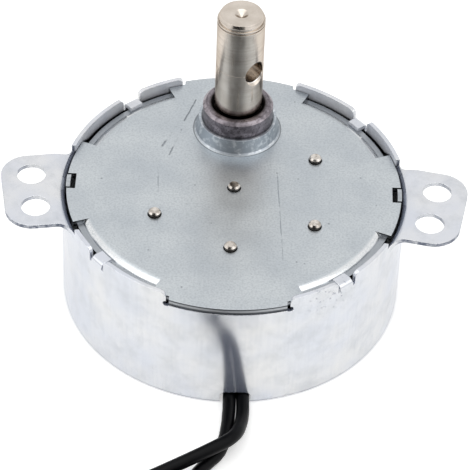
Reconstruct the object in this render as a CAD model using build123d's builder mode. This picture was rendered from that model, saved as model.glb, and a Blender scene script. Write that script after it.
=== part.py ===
"""Synchronous gear motor: a drawn steel can with crimped cover, eared flange, claw-pole stator and gear train.

The motor stands on the can's bottom. The can's axis is the Z axis, +Z is up along the output shaft, the shaft
stands off to the +Y side and the two leads leave at the foot of the -Y side. Lengths are in millimetres and
angles in degrees, counted from +X towards +Y.
"""

import math
import os

from build123d import *

os.makedirs("parts", exist_ok=True)

# Can: one drawn sheet, with ears, rim lips, crimp tabs and the lower claw poles
can_diameter = 50.0
can_height = 19.8
can_sheet = 0.6
foot_round = 0.35

# Ears: bent out of the rim and swung towards the leads, each turned a little further about its pair of holes
ear_swing = 6.9
ear_turn = 3.6
ear_width = 15.0
ear_end = 4.4
ear_corner = 4.0
ear_root = 2.0
ear_root_room = 1.5
ear_bend = 2.0
ear_hole_diameter = 4.2
ear_hole_out = 4.0
ear_hole_pitch = 6.84
lip_corner = 0.8

# Cover: a flat plate with two lobes on the can's wall and four ledges under the crimp tabs
cover_sheet = 0.9
rim_above_cover = 1.0
cover_gap = 0.1
lobe_half_width = 8.2
lobe_side_gap = 0.4
lobe_seat_gap = 0.2
lobe_relief_diameter = 0.9
ledge_width = 2.8
ledge_drop = 0.6
ledge_crest_width = 1.15
ledge_crest_fall = 0.4
ledge_step = 0.2
ledge_edge_gap = 0.6
ledge_start = 26.0
ledge_end = 69.0
leg_slot_width = 3.2
leg_slot_depth = 1.3

# Crimp tabs: strips of the rim bent in over the ledges
tab_count = 4
tab_first_angle = 41.2
tab_width = 2.3
tab_side_gap = 0.4
tab_reach = 1.3
tab_bend = 0.9
tab_cut_depth = 0.4

# Bearing: a collar drawn up from the cover with a sintered bush pressed in
collar_height = 2.4
collar_wall = 0.55
collar_flare = 0.4
collar_root_round = 0.3
bush_diameter = 10.4
bush_stand = 2.7
bush_drop = 1.0
bush_chamfer = 0.45
bush_mouth = 0.45

# Output shaft
shaft_diameter = 7.0
shaft_offset_share = 0.532
shaft_stand = 16.5
shaft_point_diameter = 6.1
shaft_point_height = 0.45
shaft_groove_depth = 0.2
shaft_groove_width = 0.22
shaft_neck_depth = 0.2
shaft_neck_width = 0.75
shaft_relief = 0.02
shaft_dimple_diameter = 2.1
shaft_dimple_depth = 0.7
cross_hole_diameter = 3.3
cross_hole_below_top = 9.0
cross_hole_angle = -46.0
cross_hole_chamfer = 0.45

# Axles: the rotor pin stands on the can's axis, the wheel axles at these shares of the can's radius and angles
pin_diameter = 1.8
pin_stand = 0.7
pin_chamfer = 0.25
pin_hole_gap = 0.1
axle_a_share, axle_a_angle = 0.5136, 209.4
axle_b_share, axle_b_angle = 0.5052, 269.6
axle_c_share, axle_c_angle = 0.5572, 327.8
axle_d_share, axle_d_angle = 0.5428, 30.2

# Gear train: teeth of each pinion and of the wheel that it drives, from the rotor to the shaft
rotor_pinion_teeth, wheel_a_teeth = 14, 35
pinion_a_teeth, wheel_b_teeth = 14, 35
pinion_b_teeth, wheel_c_teeth = 15, 40
pinion_c_teeth, wheel_d_teeth = 18, 36
pinion_d_teeth, output_teeth = 12, 36
pressure_angle = 20.0
addendum_share = 0.8
dedendum_share = 1.1
tooth_thinning = 0.07
level_count = 4
face_share = 0.735
first_level_gap = 0.3
ledge_gap = 0.2
hub_diameter = 3.6
output_hub_diameter = 10.0
shaft_washer_diameter = 10.4
shaft_washer_sheet = 1.1
spacer_wall = 1.13

# Stator and rotor
gear_plate_sheet = 0.8
leg_width = 2.6
leg_sheet = 0.6
pole_sheet = 0.6
pole_pairs = 6
claw_radius_share = 0.488
claw_width_share = 0.69
claw_window_share = 0.62
claw_end_gap = 1.0
film_sheet = 0.2
bobbin_height_share = 0.4765
bobbin_wall = 0.7
bobbin_claw_gap = 0.4
bobbin_rim_gap = 1.0
flange_roof = 0.35
upper_flange = 0.8
winding_rim_gap = 2.1
tape_sheet = 0.3
post_diameter = 0.8
magnet_air_gap = 0.7
magnet_wall = 3.5
magnet_end_gap = 0.9
rotor_web = 2.4
rotor_neck_diameter = 4.4
rotor_passage_gap = 0.5
washer_diameter = 4.6
washer_sheet = 0.4

# Leads: two insulated wires with their spare length coiled and tied
lead_diameter = 1.9
lead_spacing = 2.0
lead_exit_x = 1.5
lead_lift = 0.05
lead_notch_gap = 0.2
lead_inner_end_share = 0.688
coil_step = 1.2
coil_layer = 2.4
coil_lift = 2.0
coil_a_radius = 11.4
coil_b_radius = 10.9
coil_tail = 2.0
tip_diameter = 1.0
tip_length = 6.0
tie_sheet = 0.6
tie_width = 2.0
tie_gap = 0.35
tie_corner = 0.8

# Fits
running_gap = 0.05
press_gap = 0.02
end_gap = 0.1
overrun = 1.0

# Derived sizes
can_radius = can_diameter / 2
wall_inner = can_radius - can_sheet
ear_hole_circle = can_diameter + 2 * ear_hole_out
ear_reach = ear_hole_circle / 2 + ear_end
cover_top = can_height - rim_above_cover
cover_bottom = cover_top - cover_sheet
cover_radius = wall_inner - cover_gap
ledge_inner_radius = cover_radius - ledge_width
ledge_top = cover_top - ledge_drop
ledge_bottom = ledge_top - cover_sheet
ledge_crest_end = ledge_inner_radius + ledge_crest_width
ledge_foot = ledge_crest_end + ledge_step
ledge_outer_radius = cover_radius - ledge_edge_gap
bend_floor = can_height - can_sheet - ear_bend
collar_top = cover_top + collar_height
collar_rim_diameter = bush_diameter + 2 * collar_wall
collar_base_diameter = collar_rim_diameter + 2 * collar_flare
bush_radius = bush_diameter / 2
bush_bottom = cover_bottom - bush_drop
bush_top = collar_top + bush_stand
shaft_radius = shaft_diameter / 2
shaft_offset = shaft_offset_share * can_radius
shaft_top = bush_top + shaft_stand
pin_radius = pin_diameter / 2
pin_top = cover_top + pin_stand
lead_radius = lead_diameter / 2
lead_inner_end = lead_inner_end_share * can_radius
lead_notch_top = lead_lift + lead_diameter + lead_notch_gap
claw_radius = claw_radius_share * can_radius
claw_width = claw_width_share * math.pi * claw_radius / pole_pairs
claw_window = claw_window_share * (wall_inner - claw_radius)
film_bottom = can_sheet
bobbin_bottom = film_bottom + film_sheet
lower_flange = lead_notch_top + flange_roof - bobbin_bottom
bobbin_top = bobbin_bottom + bobbin_height_share * (cover_bottom - can_sheet)
pole_bottom = bobbin_top
plate_bottom = pole_bottom + pole_sheet
plate_top = plate_bottom + gear_plate_sheet
level_pitch = (ledge_bottom - ledge_gap - plate_top - first_level_gap) / level_count
face_width = face_share * level_pitch


def polar(radius, angle):
    """A point in plan at a radius and an angle round the can's axis."""
    return radius * math.cos(math.radians(angle)), radius * math.sin(math.radians(angle))


def angle_to(start, end):
    """The direction in plan from one point to another."""
    return math.degrees(math.atan2(end[1] - start[1], end[0] - start[0]))


def gear_outline(place, teeth, module, tooth_angle):
    """Points of a spur gear about a place, with one tooth centred on tooth_angle.

    A flank point at radius r lies off its tooth's middle by
    a(r) = half the pitch thickness + inv(pressure angle) - inv(acos(base radius / r)), with inv(x) = tan x - x.
    """
    pitch = module * teeth / 2
    pressure = math.radians(pressure_angle)
    base = pitch * math.cos(pressure)
    radii = (pitch - dedendum_share * module, pitch, pitch + addendum_share * module)
    half = math.pi / (2 * teeth) - tooth_thinning / (2 * pitch) + math.tan(pressure) - pressure
    flank = []
    for radius in radii:
        roll = math.acos(min(1, base / radius))
        flank.append((radius, half - math.tan(roll) + roll))
    tooth = [(r, -a) for r, a in flank] + [(r, a) for r, a in reversed(flank)]
    points = []
    for count in range(teeth):
        middle = math.radians(tooth_angle) + 2 * math.pi * count / teeth
        for radius, off in tooth:
            points.append((place[0] + radius * math.cos(middle + off), place[1] + radius * math.sin(middle + off)))
    return points


def level_floor(level):
    """Height of the underside of a gear on one of the train's levels, the first lying on the gear plate."""
    return plate_top + first_level_gap + level * level_pitch


def mesh_module(place, next_place, teeth, next_teeth):
    """Module that brings two gears into mesh at the distance between their axles."""
    return 2 * math.dist(place, next_place) / (teeth + next_teeth)


# Places of the axles in plan, and the module of each mesh
centre = (0, 0)
axle_a = polar(axle_a_share * can_radius, axle_a_angle)
axle_b = polar(axle_b_share * can_radius, axle_b_angle)
axle_c = polar(axle_c_share * can_radius, axle_c_angle)
axle_d = polar(axle_d_share * can_radius, axle_d_angle)
shaft_place = (0, shaft_offset)
module_1 = mesh_module(centre, axle_a, rotor_pinion_teeth, wheel_a_teeth)
module_2 = mesh_module(axle_a, axle_b, pinion_a_teeth, wheel_b_teeth)
module_3 = mesh_module(axle_b, axle_c, pinion_b_teeth, wheel_c_teeth)
module_4 = mesh_module(axle_c, axle_d, pinion_c_teeth, wheel_d_teeth)
module_5 = mesh_module(axle_d, shaft_place, pinion_d_teeth, output_teeth)
level_1, level_2, level_3, level_4 = [level_floor(level) for level in range(level_count)]
# The shaft's pivot and the spacer round it fit beside wheel d
wheel_d_tip = module_4 * (wheel_d_teeth / 2 + addendum_share)
spacer_radius = math.dist(axle_d, shaft_place) - wheel_d_tip - first_level_gap
pivot_diameter = 2 * (spacer_radius - spacer_wall - running_gap)
hub_bottom = plate_top + end_gap
hub_top = cover_bottom - end_gap
print("modules", [round(m, 3) for m in (module_1, module_2, module_3, module_4, module_5)])
print("top of the gears", round(level_4 + face_width, 2), "under the ledges at", round(ledge_bottom, 2))

# Ear plan: the middle of each ear's end, its direction, and its two holes
ear_ends = []
ear_holes = []
for swing, turn in ((-ear_swing, -ear_turn), (180 + ear_swing, ear_turn)):
    middle_x, middle_y = polar(ear_hole_circle / 2, swing)
    ear_angle = swing + turn
    out_x, out_y = polar(ear_end, ear_angle)
    ear_ends.append(((middle_x + out_x, middle_y + out_y), ear_angle))
    side_x, side_y = polar(ear_hole_pitch / 2, ear_angle + 90)
    ear_holes.append((middle_x + side_x, middle_y + side_y))
    ear_holes.append((middle_x - side_x, middle_y - side_y))

ear_room_width = ear_width + 2 * ear_root_room

# Both ears: a flange bent out round the whole rim, then trimmed to the ears' outlines
with BuildPart() as ears:
    with BuildSketch(Plane.XZ):
        with BuildLine():
            bend_end = can_radius + ear_bend
            under = can_height - can_sheet
            Line((wall_inner, bend_floor), (can_radius, bend_floor))
            RadiusArc((can_radius, bend_floor), (bend_end, under), ear_bend)
            Polyline(
                (bend_end, under),
                (ear_reach + overrun, under),
                (ear_reach + overrun, can_height),
                (bend_end, can_height),
            )
            RadiusArc((bend_end, can_height), (wall_inner, bend_floor), -(ear_bend + can_sheet))
        make_face()
    revolve(axis=Axis.Z)
    # the outline: round corners outside, and a flare where each side runs into the rim
    with BuildSketch(Plane.XY.offset(bend_floor)) as ear_plan:
        Circle(can_radius)
        for place, ear_angle in ear_ends:
            with Locations(place):
                Rectangle(can_radius, ear_width, rotation=ear_angle, align=(Align.MAX, Align.CENTER))
        fillet(ear_plan.vertices().sort_by_distance((0, 0))[:4], radius=ear_root)
        fillet(ear_plan.vertices().sort_by_distance((0, 0))[-4:], radius=ear_corner)
    extrude(amount=can_height, mode=Mode.INTERSECT)
    with BuildSketch(Plane.XY.offset(bend_floor)):
        for place, ear_angle in ear_ends:
            with Locations(place):
                Rectangle(can_radius, ear_room_width, rotation=ear_angle, align=(Align.MAX, Align.CENTER))
    extrude(amount=can_height, mode=Mode.INTERSECT)
    with Locations(*[(x, y, can_height) for x, y in ear_holes]):
        Hole(radius=ear_hole_diameter / 2)

# One crimp tab: up the wall, over the bend and inward along the ledge
with BuildPart() as crimp_tab:
    tab_top = ledge_top + can_sheet
    tab_root = ledge_top - tab_cut_depth
    tab_end = can_radius - can_sheet - tab_reach
    with BuildSketch(Plane.XZ):
        with BuildLine():
            Polyline(
                (can_radius - tab_bend, tab_top),
                (tab_end, tab_top),
                (tab_end, ledge_top),
                (wall_inner, ledge_top),
                (wall_inner, tab_root),
                (can_radius, tab_root),
                (can_radius, tab_top - tab_bend),
            )
            RadiusArc((can_radius, tab_top - tab_bend), (can_radius - tab_bend, tab_top), -tab_bend)
        make_face()
    tab_angle = math.degrees(tab_width / can_radius)
    revolve(axis=Axis.Z, revolution_arc=tab_angle)

lobe_seat_half_width = lobe_half_width + lobe_side_gap
with BuildPart() as can:
    # drawn cup
    with BuildSketch(Plane.XZ):
        with BuildLine():
            Polyline(
                (0, 0),
                (can_radius, 0),
                (can_radius, can_height),
                (wall_inner, can_height),
                (wall_inner, can_sheet),
                (0, can_sheet),
                close=True,
            )
        make_face()
    revolve(axis=Axis.Z)
    fillet(can.edges().filter_by(GeomType.CIRCLE).group_by(Axis.Z)[0], radius=foot_round)
    # seats for the cover's lobes, front and back
    with BuildSketch(Plane.XY.offset(cover_bottom - lobe_seat_gap)):
        Rectangle(2 * lobe_seat_half_width, can_diameter + overrun)
    extrude(amount=can_height, mode=Mode.SUBTRACT)
    # room for the ears
    with BuildSketch(Plane.XY.offset(bend_floor)):
        for place, ear_angle in ear_ends:
            with Locations(place):
                Rectangle(can_radius, ear_room_width, rotation=ear_angle, align=(Align.MAX, Align.CENTER))
    extrude(amount=can_height, mode=Mode.SUBTRACT)
    # cuts that free the crimp tabs
    with BuildSketch(Plane.XY.offset(tab_root)):
        with PolarLocations(can_radius, tab_count, start_angle=tab_first_angle):
            Rectangle(2 * (can_sheet + overrun), tab_width + 2 * tab_side_gap)
    extrude(amount=can_height, mode=Mode.SUBTRACT)
    with PolarLocations(0, tab_count, start_angle=tab_first_angle - tab_angle / 2):
        add(crimp_tab.part)
    # the rim's lips end in round corners, except the four ends that run into the ears
    rim_edges = can.edges().group_by(Axis.Z)[-1].filter_by(GeomType.LINE)
    free_edges = rim_edges.sort_by(lambda edge: abs(edge.center().X))[:-4]
    fillet(free_edges, radius=lip_corner)
    # round reliefs at the ends of the lobes' seats
    with BuildSketch(Plane.XZ):
        with Locations((lobe_seat_half_width, cover_bottom), (-lobe_seat_half_width, cover_bottom)):
            Circle(lobe_relief_diameter / 2)
    extrude(amount=can_diameter, both=True, mode=Mode.SUBTRACT)
    add(ears.part)
    # windows that the lower claws were bent up from, then the claws
    with BuildSketch(Plane.XY):
        with PolarLocations(claw_radius + can_sheet + claw_window / 2, pole_pairs):
            Rectangle(claw_window, claw_width)
    extrude(amount=can_sheet, mode=Mode.SUBTRACT)
    with BuildSketch(Plane.XY):
        with PolarLocations(claw_radius + can_sheet / 2, pole_pairs):
            Rectangle(can_sheet, claw_width)
    extrude(amount=pole_bottom - claw_end_gap)
    # arched notch for the leads, and hole for the rotor pin
    with BuildSketch(Plane.XZ.offset(lead_inner_end - lead_notch_gap)) as notch:
        with Locations((lead_exit_x, 0)):
            Rectangle(
                lead_spacing + lead_diameter + 2 * lead_notch_gap,
                2 * lead_notch_top,
            )
        fillet(notch.vertices(), radius=lead_radius)
    extrude(amount=can_radius, mode=Mode.SUBTRACT)
    with Locations(centre):
        Hole(radius=pin_radius + press_gap)
can.part.label = "can"
export_step(can.part, "parts/can.step")

# Insulating film between the can and the bobbin, with the leads' slot
bobbin_inner = claw_radius + pole_sheet + bobbin_claw_gap
bobbin_outer = wall_inner - bobbin_rim_gap
slot_width = lead_spacing + lead_diameter + 2 * lead_notch_gap
slot_inner = lead_inner_end - lead_notch_gap
with BuildPart() as insulation_film:
    with BuildSketch(Plane.XY.offset(film_bottom)):
        Circle(bobbin_outer)
        Circle(bobbin_inner, mode=Mode.SUBTRACT)
        with Locations((lead_exit_x, -slot_inner)):
            Rectangle(slot_width, can_radius, align=(Align.CENTER, Align.MAX), mode=Mode.SUBTRACT)
    extrude(amount=film_sheet)
insulation_film.part.label = "insulation_film"
export_step(insulation_film.part, "parts/insulation_film.step")

# Bobbin: a spool whose lower flange carries the leads' slot and two terminal posts
winding_floor = bobbin_bottom + lower_flange
winding_ceiling = bobbin_top - upper_flange
spool_radius = bobbin_inner + bobbin_wall
post_places = [(lead_exit_x - lead_spacing / 2, -slot_inner + post_diameter)]
post_places.append((lead_exit_x + lead_spacing / 2, -slot_inner + post_diameter))
with BuildPart() as bobbin:
    with BuildSketch(Plane.XZ):
        with BuildLine():
            Polyline(
                (bobbin_inner, bobbin_bottom),
                (bobbin_outer, bobbin_bottom),
                (bobbin_outer, winding_floor),
                (spool_radius, winding_floor),
                (spool_radius, winding_ceiling),
                (bobbin_outer, winding_ceiling),
                (bobbin_outer, bobbin_top),
                (bobbin_inner, bobbin_top),
                close=True,
            )
        make_face()
    revolve(axis=Axis.Z)
    with BuildSketch(Plane.XY.offset(bobbin_bottom)):
        with Locations((lead_exit_x, -slot_inner)):
            Rectangle(slot_width, can_radius, align=(Align.CENTER, Align.MAX))
    extrude(amount=lead_notch_top - bobbin_bottom, mode=Mode.SUBTRACT)
    with BuildSketch(Plane.XY.offset(bobbin_bottom)):
        with Locations(*post_places):
            Circle(post_diameter / 2 + press_gap)
    extrude(amount=lower_flange, mode=Mode.SUBTRACT)
bobbin.part.label = "bobbin"
export_step(bobbin.part, "parts/bobbin.step")

with BuildPart() as terminal_posts:
    with BuildSketch(Plane.XY.offset(bobbin_bottom)):
        with Locations(*post_places):
            Circle(post_diameter / 2)
    extrude(amount=lower_flange)
terminal_posts.part.label = "terminal_posts"
export_step(terminal_posts.part, "parts/terminal_posts.step")

# Winding and the tape round it
winding_outer = bobbin_outer - winding_rim_gap
with BuildPart() as winding:
    with BuildSketch(Plane.XY.offset(winding_floor)):
        Circle(winding_outer)
        Circle(spool_radius, mode=Mode.SUBTRACT)
    extrude(amount=winding_ceiling - winding_floor)
winding.part.label = "winding"
export_step(winding.part, "parts/winding.step")

with BuildPart() as coil_tape:
    with BuildSketch(Plane.XY.offset(winding_floor)):
        Circle(winding_outer + tape_sheet)
        Circle(winding_outer, mode=Mode.SUBTRACT)
    extrude(amount=winding_ceiling - winding_floor)
coil_tape.part.label = "coil_tape"
export_step(coil_tape.part, "parts/coil_tape.step")

# Upper pole plate: its claws hang down between the lower ones
half_pole = 180 / pole_pairs
with BuildPart() as upper_pole_plate:
    with BuildSketch(Plane.XY.offset(pole_bottom)):
        Circle(wall_inner - press_gap)
        Circle(claw_radius, mode=Mode.SUBTRACT)
        with PolarLocations(claw_radius + pole_sheet + claw_window / 2, pole_pairs, start_angle=half_pole):
            Rectangle(claw_window, claw_width, mode=Mode.SUBTRACT)
    extrude(amount=pole_sheet)
    with BuildSketch(Plane.XY.offset(can_sheet + claw_end_gap)):
        with PolarLocations(claw_radius + pole_sheet / 2, pole_pairs, start_angle=half_pole):
            Rectangle(pole_sheet, claw_width)
    extrude(amount=plate_bottom - can_sheet - claw_end_gap)
upper_pole_plate.part.label = "upper_pole_plate"
export_step(upper_pole_plate.part, "parts/upper_pole_plate.step")

# Rotor: a ferrite ring on a moulded hub that ends in the first pinion
magnet_radius = claw_radius - magnet_air_gap
magnet_bore = magnet_radius - magnet_wall
magnet_bottom = can_sheet + magnet_end_gap
magnet_top = pole_bottom - end_gap
with BuildPart() as rotor_magnet:
    with BuildSketch(Plane.XY.offset(magnet_bottom)):
        Circle(magnet_radius)
        Circle(magnet_bore, mode=Mode.SUBTRACT)
    extrude(amount=magnet_top - magnet_bottom)
rotor_magnet.part.label = "rotor_magnet"
export_step(rotor_magnet.part, "parts/rotor_magnet.step")

rotor_bottom = can_sheet + washer_sheet + end_gap
rotor_top = cover_bottom - washer_sheet - end_gap
with BuildPart() as rotor_hub:
    with BuildSketch(Plane.XY.offset(rotor_bottom)):
        Circle(rotor_neck_diameter / 2)
    extrude(amount=rotor_top - rotor_bottom)
    with BuildSketch(Plane.XY.offset((magnet_bottom + magnet_top - rotor_web) / 2)):
        Circle(magnet_bore - press_gap)
    extrude(amount=rotor_web)
    with BuildSketch(Plane.XY.offset(level_4)):
        with BuildLine():
            Polyline(*gear_outline(centre, rotor_pinion_teeth, module_1, axle_a_angle), close=True)
        make_face()
    extrude(amount=face_width)
    Hole(radius=pin_radius + running_gap)
rotor_hub.part.label = "rotor_hub"
export_step(rotor_hub.part, "parts/rotor_hub.step")

# Rotor pin: pressed in the can's bottom and steadied by the cover
with BuildPart() as rotor_pin:
    with BuildSketch(Plane.XY):
        Circle(pin_radius)
    extrude(amount=pin_top)
    chamfer(rotor_pin.edges().group_by(Axis.Z)[-1], length=pin_chamfer)
rotor_pin.part.label = "rotor_pin"
export_step(rotor_pin.part, "parts/rotor_pin.step")

with BuildPart() as rotor_washers:
    for washer_floor in (can_sheet, cover_bottom - washer_sheet):
        with BuildSketch(Plane.XY.offset(washer_floor)):
            Circle(washer_diameter / 2)
            Circle(pin_radius + running_gap, mode=Mode.SUBTRACT)
        extrude(amount=washer_sheet)
rotor_washers.part.label = "rotor_washers"
export_step(rotor_washers.part, "parts/rotor_washers.step")

# Gear plate: carries the wheel axles and the shaft's lower pivot, its two legs steady the cover
axle_places = [axle_a, axle_b, axle_c, axle_d]
rotor_passage = module_1 * (rotor_pinion_teeth / 2 + addendum_share) + rotor_passage_gap
leg_outer = wall_inner - press_gap
with BuildPart() as gear_plate:
    with BuildSketch(Plane.XY.offset(plate_bottom)):
        Circle(leg_outer)
        Circle(rotor_passage, mode=Mode.SUBTRACT)
        with Locations(*axle_places):
            Circle(pin_radius + press_gap, mode=Mode.SUBTRACT)
        with Locations(shaft_place):
            Circle(pivot_diameter / 2 + running_gap, mode=Mode.SUBTRACT)
    extrude(amount=gear_plate_sheet)
    with BuildSketch(Plane.XY.offset(plate_bottom)):
        Circle(leg_outer)
        Circle(leg_outer - leg_sheet, mode=Mode.SUBTRACT)
        Rectangle(can_diameter, leg_width, mode=Mode.INTERSECT)
    extrude(amount=cover_top - plate_bottom)
gear_plate.part.label = "gear_plate"
export_step(gear_plate.part, "parts/gear_plate.step")

with BuildPart() as gear_axles:
    with BuildSketch(Plane.XY.offset(plate_bottom)):
        with Locations(*axle_places):
            Circle(pin_radius)
    extrude(amount=pin_top - plate_bottom)
    chamfer(gear_axles.edges().group_by(Axis.Z)[-1], length=pin_chamfer)
gear_axles.part.label = "gear_axles"
export_step(gear_axles.part, "parts/gear_axles.step")

# Wheels: each a moulded wheel and pinion on one hub, phased so that a pinion's tooth meets the next wheel's gap
half_tooth_a, half_tooth_b = 180 / wheel_a_teeth, 180 / wheel_b_teeth
half_tooth_c, half_tooth_d = 180 / wheel_c_teeth, 180 / wheel_d_teeth
wheel_a_phase = angle_to(axle_a, centre) + half_tooth_a
wheel_b_phase = angle_to(axle_b, axle_a) + half_tooth_b
wheel_c_phase = angle_to(axle_c, axle_b) + half_tooth_c
wheel_d_phase = angle_to(axle_d, axle_c) + half_tooth_d
output_phase = angle_to(shaft_place, axle_d) + 180 / output_teeth

with BuildPart() as gear_a:
    with BuildSketch(Plane.XY.offset(hub_bottom)):
        with Locations(axle_a):
            Circle(hub_diameter / 2)
    extrude(amount=hub_top - hub_bottom)
    with BuildSketch(Plane.XY.offset(level_4)):
        with BuildLine():
            Polyline(*gear_outline(axle_a, wheel_a_teeth, module_1, wheel_a_phase), close=True)
        make_face()
    extrude(amount=face_width)
    with BuildSketch(Plane.XY.offset(level_3)):
        with BuildLine():
            Polyline(*gear_outline(axle_a, pinion_a_teeth, module_2, angle_to(axle_a, axle_b)), close=True)
        make_face()
    extrude(amount=level_4 - level_3)
    with Locations(axle_a):
        Hole(radius=pin_radius + running_gap)
gear_a.part.label = "gear_a"
export_step(gear_a.part, "parts/gear_a.step")

with BuildPart() as gear_b:
    with BuildSketch(Plane.XY.offset(hub_bottom)):
        with Locations(axle_b):
            Circle(hub_diameter / 2)
    extrude(amount=hub_top - hub_bottom)
    with BuildSketch(Plane.XY.offset(level_3)):
        with BuildLine():
            Polyline(*gear_outline(axle_b, wheel_b_teeth, module_2, wheel_b_phase), close=True)
        make_face()
    extrude(amount=face_width)
    with BuildSketch(Plane.XY.offset(level_2)):
        with BuildLine():
            Polyline(*gear_outline(axle_b, pinion_b_teeth, module_3, angle_to(axle_b, axle_c)), close=True)
        make_face()
    extrude(amount=level_3 - level_2)
    with Locations(axle_b):
        Hole(radius=pin_radius + running_gap)
gear_b.part.label = "gear_b"
export_step(gear_b.part, "parts/gear_b.step")

with BuildPart() as gear_c:
    with BuildSketch(Plane.XY.offset(hub_bottom)):
        with Locations(axle_c):
            Circle(hub_diameter / 2)
    extrude(amount=hub_top - hub_bottom)
    with BuildSketch(Plane.XY.offset(level_2)):
        with BuildLine():
            Polyline(*gear_outline(axle_c, wheel_c_teeth, module_3, wheel_c_phase), close=True)
        make_face()
    extrude(amount=face_width)
    with BuildSketch(Plane.XY.offset(level_1)):
        with BuildLine():
            Polyline(*gear_outline(axle_c, pinion_c_teeth, module_4, angle_to(axle_c, axle_d)), close=True)
        make_face()
    extrude(amount=level_2 - level_1)
    with Locations(axle_c):
        Hole(radius=pin_radius + running_gap)
gear_c.part.label = "gear_c"
export_step(gear_c.part, "parts/gear_c.step")

with BuildPart() as gear_d:
    with BuildSketch(Plane.XY.offset(hub_bottom)):
        with Locations(axle_d):
            Circle(hub_diameter / 2)
    extrude(amount=hub_top - hub_bottom)
    with BuildSketch(Plane.XY.offset(level_1)):
        with BuildLine():
            Polyline(*gear_outline(axle_d, wheel_d_teeth, module_4, wheel_d_phase), close=True)
        make_face()
    extrude(amount=face_width)
    with BuildSketch(Plane.XY.offset(level_1 + face_width)):
        with BuildLine():
            Polyline(*gear_outline(axle_d, pinion_d_teeth, module_5, angle_to(axle_d, shaft_place)), close=True)
        make_face()
    extrude(amount=level_2 - level_1)
    with Locations(axle_d):
        Hole(radius=pin_radius + running_gap)
gear_d.part.label = "gear_d"
export_step(gear_d.part, "parts/gear_d.step")

# Output gear, shaft, and the washers that locate them endways
washer_bottom = bush_bottom - end_gap - shaft_washer_sheet
with BuildPart() as output_gear:
    with BuildSketch(Plane.XY.offset(level_2)):
        with BuildLine():
            Polyline(*gear_outline(shaft_place, output_teeth, module_5, output_phase), close=True)
        make_face()
    extrude(amount=face_width)
    with BuildSketch(Plane.XY.offset(level_2 + face_width)):
        with Locations(shaft_place):
            Circle(output_hub_diameter / 2)
    extrude(amount=washer_bottom - level_2 - face_width)
    with Locations(shaft_place):
        Hole(radius=shaft_radius + press_gap)
output_gear.part.label = "output_gear"
export_step(output_gear.part, "parts/output_gear.step")

point_radius = shaft_point_diameter / 2
end_radius = shaft_radius - shaft_relief
groove_radius = shaft_radius - shaft_groove_depth
cross_hole_height = shaft_top - cross_hole_below_top
groove_top = shaft_top - 2 * shaft_point_height
neck_top = bush_top + end_gap
with BuildPart() as output_shaft:
    with BuildSketch(Plane.XZ.offset(-shaft_offset)):
        with BuildLine():
            Polyline(
                (0, plate_bottom + end_gap),
                (pivot_diameter / 2, plate_bottom + end_gap),
                (pivot_diameter / 2, level_2),
                (shaft_radius, level_2),
                (shaft_radius, neck_top - shaft_neck_width),
                (shaft_radius - shaft_neck_depth, neck_top - shaft_neck_width),
                (shaft_radius - shaft_neck_depth, neck_top),
                (shaft_radius, neck_top),
                (shaft_radius, cross_hole_height),
                (end_radius, cross_hole_height),
                (end_radius, groove_top - 2 * shaft_groove_width),
                (groove_radius, groove_top - 2 * shaft_groove_width),
                (groove_radius, groove_top - shaft_groove_width),
                (end_radius, groove_top - shaft_groove_width),
                (end_radius, groove_top),
                (groove_radius, groove_top),
                (groove_radius, shaft_top - shaft_point_height),
                (point_radius, shaft_top),
                (shaft_dimple_diameter / 2, shaft_top),
                (0, shaft_top - shaft_dimple_depth),
                close=True,
            )
        make_face()
    revolve(axis=Axis((0, shaft_offset, 0), (0, 0, 1)))
    cross_x, cross_y = polar(1, cross_hole_angle)
    cross_place = (0, shaft_offset, cross_hole_height)
    cross_plane = Plane(origin=cross_place, x_dir=(0, 0, 1), z_dir=(cross_x, cross_y, 0))
    with BuildSketch(cross_plane):
        Circle(cross_hole_diameter / 2)
    extrude(amount=shaft_diameter, both=True, mode=Mode.SUBTRACT)
    # both ends of the cross hole are countersunk
    for facing in (shaft_radius, -shaft_radius):
        mouth = Vector(cross_x, cross_y, 0) * facing
        with BuildSketch(Plane(origin=mouth + Vector(*cross_place), x_dir=(0, 0, 1), z_dir=-mouth)):
            Circle(cross_hole_diameter / 2 + cross_hole_chamfer)
        extrude(amount=2 * cross_hole_chamfer, taper=45, mode=Mode.SUBTRACT)
output_shaft.part.label = "output_shaft"
export_step(output_shaft.part, "parts/output_shaft.step")

with BuildPart() as shaft_washer:
    with BuildSketch(Plane.XY.offset(washer_bottom)):
        with Locations(shaft_place):
            Circle(shaft_washer_diameter / 2)
            Circle(shaft_radius + press_gap, mode=Mode.SUBTRACT)
    extrude(amount=shaft_washer_sheet)
shaft_washer.part.label = "shaft_washer"
export_step(shaft_washer.part, "parts/shaft_washer.step")

with BuildPart() as pivot_spacer:
    with BuildSketch(Plane.XY.offset(plate_top)):
        with Locations(shaft_place):
            Circle(spacer_radius)
            Circle(pivot_diameter / 2 + running_gap, mode=Mode.SUBTRACT)
    extrude(amount=level_2 - end_gap - plate_top)
pivot_spacer.part.label = "pivot_spacer"
export_step(pivot_spacer.part, "parts/pivot_spacer.step")

# Sintered bush, pressed in the cover's collar
with BuildPart() as bush:
    bore_radius = shaft_radius + running_gap
    with BuildSketch(Plane.XZ.offset(-shaft_offset)):
        with BuildLine():
            Polyline(
                (bore_radius, bush_bottom),
                (bush_radius, bush_bottom),
                (bush_radius, bush_top - bush_chamfer),
                (bush_radius - bush_chamfer, bush_top),
                (bore_radius + bush_mouth, bush_top),
                (bore_radius, bush_top - bush_mouth),
                close=True,
            )
        make_face()
    revolve(axis=Axis((0, shaft_offset, 0), (0, 0, 1)))
bush.part.label = "bush"
export_step(bush.part, "parts/bush.step")

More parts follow.
